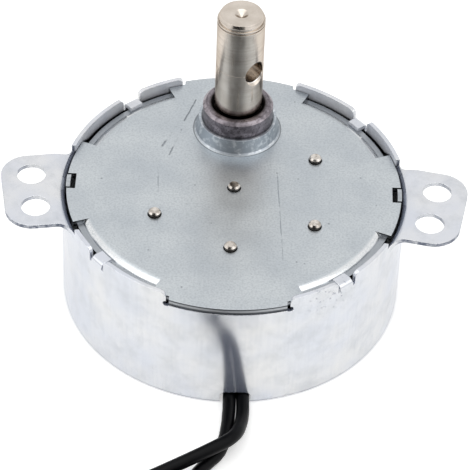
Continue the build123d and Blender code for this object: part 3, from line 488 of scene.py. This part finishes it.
# painted highlight: crests that lean a little are lightened
shone = add_node(
    tree, "Mix", {"Factor": crest_highlight, "A": darkened, "B": linear("#E4E6E7")}, data_type="RGBA"
)
cut = add_node(tree, "Mix", {"Factor": edge, "A": shone, "B": linear("#55585C")}, data_type="RGBA")
print("with crests and edge:", len(tree.nodes), "nodes")

# %% The lobes' edge
# the shear leaves a bright band half way down
BAND_HEIGHT, BAND_HALF = 18.38 * MM, 0.24 * MM

off_band = add_node(tree, "Math", {0: height, 1: BAND_HEIGHT}, operation="SUBTRACT")
off_band = add_node(tree, "Math", {0: off_band}, operation="ABSOLUTE")
band = add_node(
    tree,
    "MapRange",
    {"Value": off_band, "From Min": BAND_HALF, "From Max": BAND_HALF / 2, "To Max": 0.8},
)
band = add_node(tree, "Math", {0: band, 1: edge}, operation="MULTIPLY")
cut = add_node(tree, "Mix", {"Factor": band, "A": cut, "B": linear("#B6B9BD")}, data_type="RGBA")
print("with the bright band:", len(tree.nodes), "nodes")

# %% The drawn collar
# drawing tears the zinc on the collar's wall into bright flecks; a line of painted shade lies in
# the crease at its foot and another in the gap round the bush
FLECK = 0.7 * MM
SHAFT_PLACE = (0, 13.3 * MM, 0)
COLLAR_WALL = 6.4 * MM
# each painted shade line's radius and width
COLLAR_SHADE_LINES = ((6.5 * MM, 0.24 * MM), (5.32 * MM, 0.3 * MM))

off_axis = add_node(tree, "VectorMath", {0: plan, 1: SHAFT_PLACE}, operation="DISTANCE")
off_axis = off_axis.outputs["Value"]
fleck = add_node(tree, "TexNoise", {"Vector": spot, "Scale": 1 / FLECK, "Detail": 4.0})
flecked = add_node(
    tree, "MapRange", {"Value": fleck, "From Min": 0.5, "From Max": 0.66, "To Max": 0.8}
)
wall = add_node(
    tree,
    "MapRange",
    {"Value": off_axis, "From Min": COLLAR_WALL, "From Max": COLLAR_WALL - 0.1 * MM},
)
torn = add_node(tree, "Math", {0: flecked, 1: wall}, operation="MULTIPLY")
drawn = add_node(tree, "Mix", {"Factor": wall, "A": cut, "B": linear("#ABB2B9")}, data_type="RGBA")
drawn = add_node(
    tree, "Mix", {"Factor": torn, "A": drawn, "B": linear("#DDE1E4")}, data_type="RGBA"
)
for radius, width in COLLAR_SHADE_LINES:
    off_line = add_node(tree, "Math", {0: off_axis, 1: radius}, operation="SUBTRACT")
    off_line = add_node(tree, "Math", {0: off_line}, operation="ABSOLUTE")
    line = add_node(
        tree,
        "MapRange",
        {"Value": off_line, "From Min": width / 2, "From Max": 0, "To Max": 0.9},
    )
    # painted shade line
    drawn = add_node(
        tree, "Mix", {"Factor": line, "A": drawn, "B": linear("#565A5E")}, data_type="RGBA"
    )
print("with the collar:", len(tree.nodes), "nodes")

# %% The cover's shader
rounded = add_node(tree, "Bevel", {"Radius": 0.12 * MM}, samples=BEVEL_SAMPLES)
ripple = add_node(
    tree,
    "Bump",
    {"Height": grain, "Strength": 0.15, "Distance": 0.03 * MM, "Normal": rounded},
)
plain_gloss = add_node(
    tree,
    "MapRange",
    {"Value": cloud, "From Min": 0.3, "From Max": 0.7, "To Min": 0.31, "To Max": 0.43},
)
wear_and_painted_light = add_node(tree, "MapRange", {"Value": crest_highlight, "To Min": 0.0, "To Max": 0.18})
rough = add_node(tree, "Math", {0: plain_gloss, 1: wear_and_painted_light}, operation="SUBTRACT")
shader = add_node(
    tree,
    "BsdfPrincipled",
    {"Metallic": 1.0, "Base Color": drawn, "Roughness": rough, "Normal": ripple},
)
add_node(tree, "OutputMaterial", {"Surface": shader})
print("cover finish:", len(tree.nodes), "nodes")

# %% [markdown]
# ## The shaft and pins: turned and nickel plated
#
# The shaft is turned from bar and plated with nickel, which is warmer than zinc and shines clearly.
# The tool leaves fine rings. Rings are a pattern of height alone, so the noise reads coordinates
# that are squeezed in plan until only the height counts. Nickel darkens a little where it is seen
# edge on, which the shader's tint does.

# %% Turned nickel
# tool marks 0.3 mm apart: the real ones are finer, and would not show in the picture
NICKEL_CLOUD, TOOL_MARK = 2.5 * MM, 0.3 * MM
SQUEEZE = (0.03, 0.03, 1)
# the shaft is darker in the neck at the bush, under this height
NECK_TOP = 24.1 * MM

material, tree = blank_finish("nickel_plated_turned_steel")
finishes["output_shaft"] = material
where = add_node(tree, "TexCoord")
spot = where.outputs["Object"]
squeezed = add_node(tree, "Mapping", {"Vector": spot, "Scale": SQUEEZE})
cloud = add_node(tree, "TexNoise", {"Vector": spot, "Scale": 1 / NICKEL_CLOUD, "Detail": 4.0})
clouded = add_node(tree, "MapRange", {"Value": cloud, "From Min": 0.35, "From Max": 0.65})
nickel = add_node(
    tree,
    "Mix",
    {"Factor": clouded, "A": linear("#C9BFB4"), "B": linear("#DAD1C7")},
    data_type="RGBA",
)
rings = add_node(tree, "TexNoise", {"Vector": squeezed, "Scale": 1 / TOOL_MARK, "Detail": 2.0})
ring = add_node(
    tree, "MapRange", {"Value": rings, "From Min": 0.45, "From Max": 0.7, "To Max": 0.3}
)
turned = add_node(
    tree, "Mix", {"Factor": ring, "A": nickel, "B": linear("#9E958C")}, data_type="RGBA"
)
height = add_node(tree, "SeparateXYZ", {"Vector": spot}).outputs["Z"]
darker_below = add_node(
    tree,
    "MapRange",
    {"Value": height, "From Min": NECK_TOP + 0.1 * MM, "From Max": NECK_TOP - 0.1 * MM},
)
darker_at_join = add_node(
    tree, "Mix", {"Factor": darker_below, "A": turned, "B": linear("#2B2624")}, data_type="RGBA"
)
print("turned nickel:", len(tree.nodes), "nodes")

# %% The cross hole
# the drill leaves the hole's roof rough, and plating hardly reaches it; its floor is painted near
# white as a highlight
CROSS_HOLE = (SHAFT_PLACE[0], SHAFT_PLACE[1], 31.4 * MM)
CROSS_HOLE_TURN = (0, 0, math.radians(-46))
BORE_EDGE, CRUMB = 1.75 * MM, 0.5 * MM
# a factor that drops the way along the hole
OFF_AXIS = (0, 1, 1)

in_hole = add_node(
    tree,
    "Mapping",
    {"Vector": spot, "Location": CROSS_HOLE, "Rotation": CROSS_HOLE_TURN},
    vector_type="TEXTURE",
)
off_hole = add_node(tree, "VectorMath", {0: in_hole, 1: OFF_AXIS}, operation="MULTIPLY")
off_hole = add_node(tree, "VectorMath", {0: off_hole}, operation="LENGTH").outputs["Value"]
bore = add_node(
    tree,
    "MapRange",
    {"Value": off_hole, "From Min": BORE_EDGE, "From Max": BORE_EDGE - 0.05 * MM},
)
facing = add_node(tree, "SeparateXYZ", {"Vector": where.outputs["Normal"]}).outputs["Z"]
roof = add_node(tree, "MapRange", {"Value": facing, "From Min": 0.5, "From Max": 0.2})
drilled = add_node(tree, "Math", {0: bore, 1: roof}, operation="MULTIPLY")
crumbs = add_node(tree, "TexNoise", {"Vector": spot, "Scale": 1 / CRUMB, "Detail": 3.0})
crumbs = add_node(tree, "MapRange", {"Value": crumbs, "From Min": 0.4, "From Max": 0.6})
torn = add_node(
    tree,
    "Mix",
    {"Factor": crumbs, "A": linear("#685C51"), "B": linear("#C4B6A8")},
    data_type="RGBA",
)
finished = add_node(tree, "Mix", {"Factor": drilled, "A": darker_at_join, "B": torn}, data_type="RGBA")
# painted highlight on the hole's floor
hole_highlight = add_node(tree, "Math", {0: bore, 1: drilled}, operation="SUBTRACT")
finished = add_node(
    tree, "Mix", {"Factor": hole_highlight, "A": finished, "B": linear("#F6F3EE")}, data_type="RGBA"
)
print("with the cross hole:", len(tree.nodes), "nodes")

# %% The shaft's shader
rounded = add_node(tree, "Bevel", {"Radius": 0.08 * MM}, samples=BEVEL_SAMPLES)
tool_marks = add_node(
    tree,
    "Bump",
    {"Height": rings, "Strength": 0.06, "Distance": 0.02 * MM, "Normal": rounded},
)
gloss = add_node(
    tree,
    "MapRange",
    {"Value": cloud, "From Min": 0.3, "From Max": 0.7, "To Min": 0.17, "To Max": 0.25},
)
shader = add_node(
    tree,
    "BsdfPrincipled",
    {
        "Metallic": 1.0,
        "Specular Tint": linear("#CDC7C1"),
        "Base Color": finished,
        "Roughness": gloss,
        "Normal": tool_marks,
    },
)
add_node(tree, "OutputMaterial", {"Surface": shader})
print("shaft finish:", len(tree.nodes), "nodes")

# %% [markdown]
# The pins are cropped from drawn wire and plated in the same bath. Their ends are flat with a crisp
# chamfer, which smooth shading would turn into a dome, so their finish takes its normals from the
# faces themselves.

# %% Nickel-plated pins
PIN_DENT = 0.6 * MM

material, tree = blank_finish("nickel_plated_pin_wire")
for node in ("rotor_pin", "gear_axles"):
    finishes[node] = material
spot = add_node(tree, "TexCoord").outputs["Object"]
cloud = add_node(tree, "TexNoise", {"Vector": spot, "Scale": 1 / PIN_DENT, "Detail": 3.0})
clouded = add_node(tree, "MapRange", {"Value": cloud, "From Min": 0.38, "From Max": 0.6})
nickel = add_node(
    tree,
    "Mix",
    {"Factor": clouded, "A": linear("#B3ACA4"), "B": linear("#DBD5CE")},
    data_type="RGBA",
)
faces = add_node(tree, "NewGeometry").outputs["True Normal"]
# the sides are painted dark, as shade
upward = add_node(tree, "SeparateXYZ", {"Vector": faces}).outputs["Z"]
side_shade = add_node(
    tree, "MapRange", {"Value": upward, "From Min": 0.6, "From Max": 0.3, "To Max": 0.9}
)
side_shaded = add_node(
    tree, "Mix", {"Factor": side_shade, "A": nickel, "B": linear("#3E3A37")}, data_type="RGBA"
)
dents = add_node(
    tree, "Bump", {"Height": cloud, "Strength": 0.15, "Distance": 0.05 * MM, "Normal": faces}
)
gloss = add_node(
    tree,
    "MapRange",
    {"Value": cloud, "From Min": 0.3, "From Max": 0.7, "To Min": 0.16, "To Max": 0.28},
)
shader = add_node(
    tree,
    "BsdfPrincipled",
    {"Metallic": 1.0, "Base Color": side_shaded, "Roughness": gloss, "Normal": dents},
)
add_node(tree, "OutputMaterial", {"Surface": shader})
print("pin finish:", len(tree.nodes), "nodes")

# %% [markdown]
# ## The bush: oil-soaked sintered metal
#
# The bearing is pressed from metal powder and soaked with oil. It is dark and speckled: oil fills
# the pores, and the grains between them catch the light. Two sizes of noise give the pores and the
# grains, and a middling roughness gives the oil's soft sheen.

# %% Grains and pores
SINTER_GRAIN, PORE = 0.9 * MM, 0.4 * MM

material, tree = blank_finish("oiled_sintered_bronze")
finishes["bush"] = material
where = add_node(tree, "TexCoord")
spot = where.outputs["Object"]
grain = add_node(tree, "TexNoise", {"Vector": spot, "Scale": 1 / SINTER_GRAIN, "Detail": 4.0})
grains = add_node(tree, "MapRange", {"Value": grain, "From Min": 0.36, "From Max": 0.64})
bronze = add_node(
    tree,
    "Mix",
    {"Factor": grains, "A": linear("#655F64"), "B": linear("#948D93")},
    data_type="RGBA",
)
pores = add_node(tree, "TexVoronoi", {"Vector": spot, "Scale": 1 / PORE})
pore = add_node(
    tree, "MapRange", {"Value": pores, "From Min": 0.34, "From Max": 0.12, "To Max": 0.75}
)
pitted = add_node(
    tree, "Mix", {"Factor": pore, "A": bronze, "B": linear("#3A3637")}, data_type="RGBA"
)
print("grains and pores:", len(tree.nodes), "nodes")

# %% The bush's mouth and chamfer
# the mouth round the shaft is darker, and the outer chamfer, which leans half way, is painted
# lighter as a highlight
MOUTH_RADIUS, CHAMFER_FROM = 4.0 * MM, 4.6 * MM
CHAMFER_LEAN = 0.7

off_axis = add_node(tree, "VectorMath", {0: spot, 1: SHAFT_PLACE}, operation="SUBTRACT")
off_axis = add_node(tree, "VectorMath", {0: off_axis, 1: IN_PLAN}, operation="MULTIPLY")
reach = add_node(tree, "VectorMath", {0: off_axis}, operation="LENGTH").outputs["Value"]
mouth = add_node(
    tree,
    "MapRange",
    {
        "Value": reach,
        "From Min": MOUTH_RADIUS + 0.4 * MM,
        "From Max": MOUTH_RADIUS,
        "To Max": 0.9,
    },
)
darker_at_join = add_node(
    tree, "Mix", {"Factor": mouth, "A": pitted, "B": linear("#2B2624")}, data_type="RGBA"
)
facing = add_node(tree, "SeparateXYZ", {"Vector": where.outputs["Normal"]}).outputs["Z"]
off_lean = add_node(tree, "Math", {0: facing, 1: CHAMFER_LEAN}, operation="SUBTRACT")
off_lean = add_node(tree, "Math", {0: off_lean}, operation="ABSOLUTE")
chamfer_highlight = add_node(tree, "MapRange", {"Value": off_lean, "From Min": 0.2, "From Max": 0.1})
outer = add_node(
    tree,
    "MapRange",
    {
        "Value": reach,
        "From Min": CHAMFER_FROM,
        "From Max": CHAMFER_FROM + 0.3 * MM,
        "To Max": 0.6,
    },
)
wear_and_painted_light = add_node(tree, "Math", {0: chamfer_highlight, 1: outer}, operation="MULTIPLY")
wear_and_painted_light = add_node(tree, "Math", {0: wear_and_painted_light, 1: grains}, operation="MULTIPLY")
# painted highlight on the chamfer
with_chamfer_highlight = add_node(
    tree, "Mix", {"Factor": wear_and_painted_light, "A": darker_at_join, "B": linear("#B3ABB0")}, data_type="RGBA"
)
print("with mouth and chamfer:", len(tree.nodes), "nodes")

# %% The bush's shader
rounded = add_node(tree, "Bevel", {"Radius": 0.06 * MM}, samples=BEVEL_SAMPLES)
pits = add_node(
    tree, "Bump", {"Height": pores, "Strength": 0.25, "Distance": 0.03 * MM, "Normal": rounded}
)
sheen = add_node(
    tree,
    "MapRange",
    {"Value": grain, "From Min": 0.3, "From Max": 0.7, "To Min": 0.3, "To Max": 0.46},
)
shader = add_node(
    tree,
    "BsdfPrincipled",
    {"Metallic": 1.0, "Base Color": with_chamfer_highlight, "Roughness": sheen, "Normal": pits},
)
add_node(tree, "OutputMaterial", {"Surface": shader})
print("bush finish:", len(tree.nodes), "nodes")

# %% [markdown]
# ## What is inside
#
# Most of the motor is hidden, but its parts are real and can be taken out, so each has its own
# finish. These finishes differ in colour, grain size and gloss, so one function makes them, and the
# rows below say what each material is and how its surface came about.


# %% A finish with one grain
def grained_finish(name, nodes, dark, light, grain_mm, smooth, rough, **constants):
    """A finish that wanders between two colours in grains of one size.

    Its gloss and a shallow bump come from the same noise. constants are the shader's fixed sockets,
    with _ for each space.
    """
    material, tree = blank_finish(name)
    spot = add_node(tree, "TexCoord").outputs["Object"]
    grain = add_node(
        tree, "TexNoise", {"Vector": spot, "Scale": 1 / (grain_mm * MM), "Detail": 3.0}
    )
    mixed = add_node(tree, "MapRange", {"Value": grain, "From Min": 0.35, "From Max": 0.65})
    colour = add_node(
        tree, "Mix", {"Factor": mixed, "A": linear(dark), "B": linear(light)}, data_type="RGBA"
    )
    gloss = add_node(tree, "MapRange", {"Value": mixed, "To Min": smooth, "To Max": rough})
    bump = add_node(tree, "Bump", {"Height": grain, "Strength": 0.1, "Distance": 0.03 * MM})
    sockets = {key.replace("_", " "): value for key, value in constants.items()}
    sockets.update({"Base Color": colour, "Roughness": gloss, "Normal": bump})
    shader = add_node(tree, "BsdfPrincipled", sockets)
    add_node(tree, "OutputMaterial", {"Surface": shader})
    for node in nodes.split():
        finishes[node] = material
    return tree, shader


# %% Inner metals
# each row is a finish's name, its nodes, its dark and light colours, the grain in millimetres, and
# the roughness of the smooth and the rough grains
INNER_METALS = (
    # pressed soft steel: rolled grey, with a faint even grain
    ("soft_steel_sheet", "upper_pole_plate", "#A3A7AA", "#B7BABC", 1.4, 0.34, 0.46),
    # galvanised steel: the same zinc as the cover's, duller
    ("galvanised_gear_plate", "gear_plate", "#A5AAAE", "#BABEC2", 0.6, 0.34, 0.46),
    # cut brass: yellow, with the cutter's bright flanks
    ("cut_brass", "output_gear", "#B48E3C", "#CDA957", 0.7, 0.24, 0.38),
    # tinned brass and copper: dipped in solder, so pale, soft and slightly lumpy
    ("tinned_brass", "terminal_posts", "#BDB7A6", "#D3CDBE", 0.6, 0.28, 0.42),
    ("tinned_copper", "lead_a_tip lead_b_tip", "#BFBFBB", "#D6D5D0", 0.3, 0.26, 0.4),
)
for row in INNER_METALS:
    grained_finish(*row, Metallic=1.0)
print(len(INNER_METALS), "inner metals")

# %% Inner mouldings, film and magnet
WHEELS = "gear_a gear_b gear_c gear_d rotor_hub"
WASHERS = "shaft_washer pivot_spacer rotor_washers"
# each row ends with the refractive index
INNER_OTHERS = (
    # pressed and fired ferrite: dull charcoal with a fine ground grain
    ("fired_ferrite", "rotor_magnet", "#242427", "#323236", 0.5, 0.5, 0.72, 2.4),
    # acetal: ivory white, slightly waxy from the mould
    ("moulded_acetal", WHEELS, "#E0DED6", "#ECEBE5", 2.0, 0.34, 0.48, 1.48),
    # nylon: natural for the washers, black and glass filled for the bobbin, black for the ties
    ("natural_nylon", WASHERS, "#DCDBD5", "#E7E6E1", 1.5, 0.42, 0.55, 1.53),
    ("glass_filled_nylon", "bobbin", "#26262A", "#36363B", 0.8, 0.42, 0.6, 1.53),
    ("black_nylon_strap", "lead_a_tie lead_b_tie", "#151517", "#222225", 0.8, 0.4, 0.55, 1.53),
    # polyester: a milky film under the bobbin, and the same dyed amber as tape round the winding
    ("polyester_film", "insulation_film", "#D6CEB2", "#E2DBC4", 3.0, 0.22, 0.36, 1.64),
    ("polyester_tape", "coil_tape", "#D4A52C", "#E3B948", 2.5, 0.22, 0.36, 1.64),
)
for *row, index in INNER_OTHERS:
    grained_finish(*row, IOR=index)
print(len(INNER_OTHERS), "inner mouldings, films and magnets")

# %% [markdown]
# ## The winding
#
# Thousands of turns of enamelled copper lie side by side in rows. Modelling each turn would help
# nobody, because the tape covers them, so the rows are a band pattern up the winding's height, as
# wide as the wire.

# %% Enamelled wire
# the real wire is nearer 0.1 mm: 0.25 mm is what would show
WIRE = 0.25 * MM
# Blender's wave texture has its bands pi / 10 apart at a scale of 1
WAVE_SPACING = math.pi / 10

tree, shader = grained_finish(
    "enamelled_copper_wire", "winding", "#8F4420", "#B4602F", 0.6, 0.26, 0.4, Metallic=1.0
)
spot = add_node(tree, "TexCoord").outputs["Object"]
rows = add_node(
    tree,
    "TexWave",
    {"Vector": spot, "Scale": WAVE_SPACING / WIRE},
    bands_direction="Z",
    wave_profile="SIN",
)
turns = add_node(tree, "Bump", {"Height": rows, "Strength": 0.6, "Distance": 0.05 * MM})
tree.links.new(turns.outputs["Normal"], shader.inputs["Normal"])
print(len(finishes), "nodes have a finish")

# %% [markdown]
# ## The leads
#
# Two black insulated wires leave through a notch at the can's foot, run side by side for about a
# centimetre and then part, one over the other. A lead is a fixed length of something springy, so it
# is drawn as one smooth spline with a round section. Its control points follow the CAD route, a few
# millimetres off where the photograph asks for it, and go on through the turns of the small tied
# coil that the spare length is wound into, out of the picture. A spline of this kind runs a little
# inside its points, so the coil's points are set out by the same small share.

# %% Lead routes
# control points from the notch to the coil; these sizes are all in millimetres
ROUTES = {
    "a": [
        (0.25, -17.2, 1.0),
        (1.65, -33.2, 1.0),
        (-3.5, -39.4, 1.0),
        (-5.4, -45.2, 2.0),
        (-7.2, -51.4, 2.0),
    ],
    "b": [
        (2.15, -17.2, 1.0),
        (2.72, -26.0, 1.0),
        (2.66, -29.8, 1.4),
        (1.9, -34.0, 3.0),
        (-1.0, -36.5, 3.2),
        (-7.4, -40.3, 2.5),
        (-12.2, -43.1, 2.1),
        (-17.4, -44.4, 2.0),
        (-28.2, -49.9, 2.0),
    ],
}
COIL_RADII = {"a": 11.4, "b": 10.9}
# a coil winds in by one step each half turn, climbs one layer at its smallest, and winds out again
COIL_STEPS = (0, 1, 2, 3, 2, 1, 0)
COIL_STEP, COIL_LAYER = 1.2, 2.4
TAIL = 2.0
POINTS_PER_HALF_TURN = 12


def coil_points(start, before, radius):
    """Points of a coil that winds inward, climbs one layer and winds out, in millimetres.

    Each half turn about a centre c with radius r is c - n r cos(a) + t r sin(a) for a from 0 to pi,
    where t is the heading at its start and n the direction to its centre; r falls by one step each
    half turn, then grows again.
    """
    start = np.array(start, float)
    t = start - np.array(before, float)
    t[2] = 0
    t /= np.linalg.norm(t)
    n = np.array([-t[1], t[0], 0])
    a = np.linspace(0, math.pi, POINTS_PER_HALF_TURN, endpoint=False)[:, None]
    # beside a point, a quadratic spline lies at 3/4 of it and 1/8 of each neighbour
    spread = 1 / (0.75 + 0.25 * math.cos(math.pi / POINTS_PER_HALF_TURN))
    turns = []
    for steps in COIL_STEPS:
        r = radius - steps * COIL_STEP
        centre = start + n * r
        turn = centre - n * r * spread * np.cos(a) + t * r * spread * np.sin(a)
        rise = COIL_LAYER if steps == max(COIL_STEPS) else 0
        turn[:, 2] += rise * (1 - np.cos(a[:, 0])) / 2
        turns.append(turn)
        start = start + n * 2 * r + np.array([0, 0, rise])
        t, n = -t, -n
    return np.vstack(turns + [start[None], (start + t * TAIL)[None]])


print({letter: len(route) for letter, route in ROUTES.items()}, "points before the coils")

# %% [markdown]
# ## The leads' insulation
#
# The insulation is extruded soft vinyl, coloured through with carbon black: very dark, smooth and
# only faintly glossy, because a film of plasticiser and dust dulls it. Object coordinates are
# enough for a finish this even.

# %% Black vinyl
LEADS = "lead_a_run lead_b_run lead_a_coil lead_b_coil"
BLACK = "#030305", "#08090C"
grained_finish(
    "extruded_black_vinyl", LEADS, *BLACK, 1.5, 0.3, 0.42, IOR=1.53, Specular_IOR_Level=0.1
)
print(len(finishes), "nodes with the leads' vinyl")

# %% Lay the leads
LEAD_DIAMETER = 1.9 * MM


def lay_lead(name, route, radius, material):
    """One lead: a spline along the route's points and its coil's, with a round section."""
    coil = coil_points(route[-1], route[-2], radius)
    points = np.vstack([np.array(route[:-1], float), coil]) * MM
    curve = bpy.data.curves.new(name, "CURVE")
    curve.dimensions = "3D"
    curve.bevel_depth = LEAD_DIAMETER / 2
    curve.bevel_resolution = 5
    curve.use_fill_caps = True
    spline = curve.splines.new("NURBS")
    spline.points.add(len(points) - 1)
    spline.points.foreach_set("co", np.column_stack([points, np.ones(len(points))]).ravel())
    spline.order_u = 3
    spline.use_endpoint_u = True
    spline.resolution_u = 8
    curve.materials.append(material)
    lead = bpy.data.objects.new(name, curve)
    bpy.context.collection.objects.link(lead)
    return lead, points


for letter, route in ROUTES.items():
    vinyl = finishes[f"lead_{letter}_run"]
    lead, points = lay_lead(f"lead_{letter}", route, COIL_RADII[letter], vinyl)
    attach(lead, "case")
    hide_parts(f"lead_{letter}_run", f"lead_{letter}_coil")
    print(lead.name, len(points), "points")

# %% [markdown]
# ## Dress the solids
#
# Each CAD node keeps its mesh and its place. Only the material in its slots changes.

# %% Put the finishes on
for node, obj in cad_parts.items():
    for material_slot in obj.material_slots:
        material_slot.material = finishes[node]
print(len(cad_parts), "nodes dressed")

# %% [markdown]
# ## Floor and light
#
# The photograph is a catalogue picture: white all round, with soft light. Metal shows what stands
# around it more than what shines on it, so the white surroundings are given to the camera and to
# reflections alike, and a softbox overhead puts the bright lines on bends and crests. The dark core
# of the shaft is the unlit side of the room, behind the camera, mirrored by the cover: a dark card
# stands there, seen by reflections only. A white card on each side lights the shaft's flanks.


# %% Floor
def seen_rays(tree):
    """The light path's outputs, and 1 for rays from the camera, off a mirror or through glass."""
    rays = add_node(tree, "LightPath").outputs
    seen = add_node(
        tree, "Math", {0: rays["Is Camera Ray"], 1: rays["Is Glossy Ray"]}, operation="MAXIMUM"
    )
    seen = add_node(tree, "Math", {0: seen, 1: rays["Is Transmission Ray"]}, operation="MAXIMUM")
    return rays, seen


FLOOR_HALF = 2.0
# the paper glows to the camera, so that it is white, and nearly as much in the can's wall
GLOW_SEEN, GLOW_MIRRORED = 0.48, 0.47
WHITE = (1, 1, 1, 1)

x, y = np.meshgrid([-FLOOR_HALF, FLOOR_HALF], [-FLOOR_HALF, FLOOR_HALF])
corners = np.column_stack([x.ravel(), y.ravel(), np.zeros(4)])
floor_mesh = bpy.data.meshes.new("floor")
floor_mesh.from_pydata(corners.tolist(), [], [(0, 1, 3, 2)])
floor = bpy.data.objects.new("floor", floor_mesh)
bpy.context.collection.objects.link(floor)

material, tree = blank_finish("white_sweep_paper")
rays, seen = seen_rays(tree)
paper = add_node(tree, "BsdfDiffuse", {"Color": linear("#F0F0EF")})
strength = add_node(
    tree,
    "MapRange",
    {"Value": rays["Is Camera Ray"], "To Min": GLOW_MIRRORED, "To Max": GLOW_SEEN},
)
glow = add_node(tree, "Emission", {"Color": WHITE, "Strength": strength})
lifted = add_node(tree, "AddShader", {0: paper, 1: glow})
surface = add_node(tree, "MixShader", {0: seen, 1: paper, 2: lifted})
add_node(tree, "OutputMaterial", {"Surface": surface})
floor_mesh.materials.append(material)
print("floor", 2 * FLOOR_HALF, "m wide")

# %% World
WORLD_LIGHT, WORLD_SEEN = 0.6, 1.0

world = bpy.data.worlds.new("white_studio")
bpy.context.scene.world = world
world.use_nodes = True
tree = world.node_tree
tree.nodes.clear()
_, seen = seen_rays(tree)
strength = add_node(tree, "MapRange", {"Value": seen, "To Min": WORLD_LIGHT, "To Max": WORLD_SEEN})
background = add_node(tree, "Background", {"Color": WHITE, "Strength": strength})
add_node(tree, "OutputWorld", {"Surface": background})
print("world:", len(tree.nodes), "nodes")

# %% Lamp and cards
SOFTBOX_PLACE, SOFTBOX_SIZE, SOFTBOX_POWER = (-0.06, -0.1, 0.7), 0.78, 2.15
CARD_DISTANCE = 0.66
# each card's azimuth and elevation, width and height in metres, colour and strength
CARDS = {
    "unlit_room_card": ((-12, 36), (0.7, 0.6), "#1C1C1E", 1.0),
    "white_right_card": ((68, 42), (0.4, 0.5), "#FFFFFF", 1.7),
    "white_left_card": ((-76, 42), (0.4, 0.5), "#FFFFFF", 1.6),
}


def towards_card(azimuth, elevation):
    """Where a card stands, seen from the motor: azimuth to the right from the leads' side, and
    elevation, in degrees."""
    a, e = math.radians(azimuth), math.radians(elevation)
    direction = Vector((math.sin(a) * math.cos(e), -math.cos(a) * math.cos(e), math.sin(e)))
    return direction * CARD_DISTANCE


def softbox(name, position, size, power):
    """A square area lamp that looks at the motor."""
    data = bpy.data.lights.new(name, "AREA")
    data.shape = "SQUARE"
    data.size = size
    data.energy = power
    lamp = bpy.data.objects.new(name, data)
    lamp.location = position
    lamp.rotation_euler = Vector(position).to_track_quat("Z", "Y").to_euler()
    bpy.context.collection.objects.link(lamp)


def studio_card(name, middle, width, height, colour, strength):
    """A flat card facing the motor: middle + u * across + v * up for u and v in its half sizes."""
    facing = middle.normalized()
    across = Vector((0, 0, 1)).cross(facing).normalized()
    up = facing.cross(across)
    u, v = np.meshgrid([-width / 2, width / 2], [-height / 2, height / 2])
    sideways, upwards = np.outer(u.ravel(), across), np.outer(v.ravel(), up)
    grid = np.array(middle) + sideways + upwards
    mesh = bpy.data.meshes.new(name)
    mesh.from_pydata(grid.tolist(), [], [(0, 1, 3, 2)])
    card = bpy.data.objects.new(name, mesh)
    bpy.context.collection.objects.link(card)
    material, tree = blank_finish(name)
    light = add_node(tree, "Emission", {"Color": linear(colour), "Strength": strength})
    add_node(tree, "OutputMaterial", {"Surface": light})
    mesh.materials.append(material)
    card.visible_camera = False
    card.visible_diffuse = False
    card.visible_transmission = False
    card.visible_shadow = False


softbox("overhead_softbox", SOFTBOX_PLACE, SOFTBOX_SIZE, SOFTBOX_POWER)
for name, (direction, size, colour, strength) in CARDS.items():
    studio_card(name, towards_card(*direction), *size, colour, strength)
print(len(CARDS), "cards and a softbox")
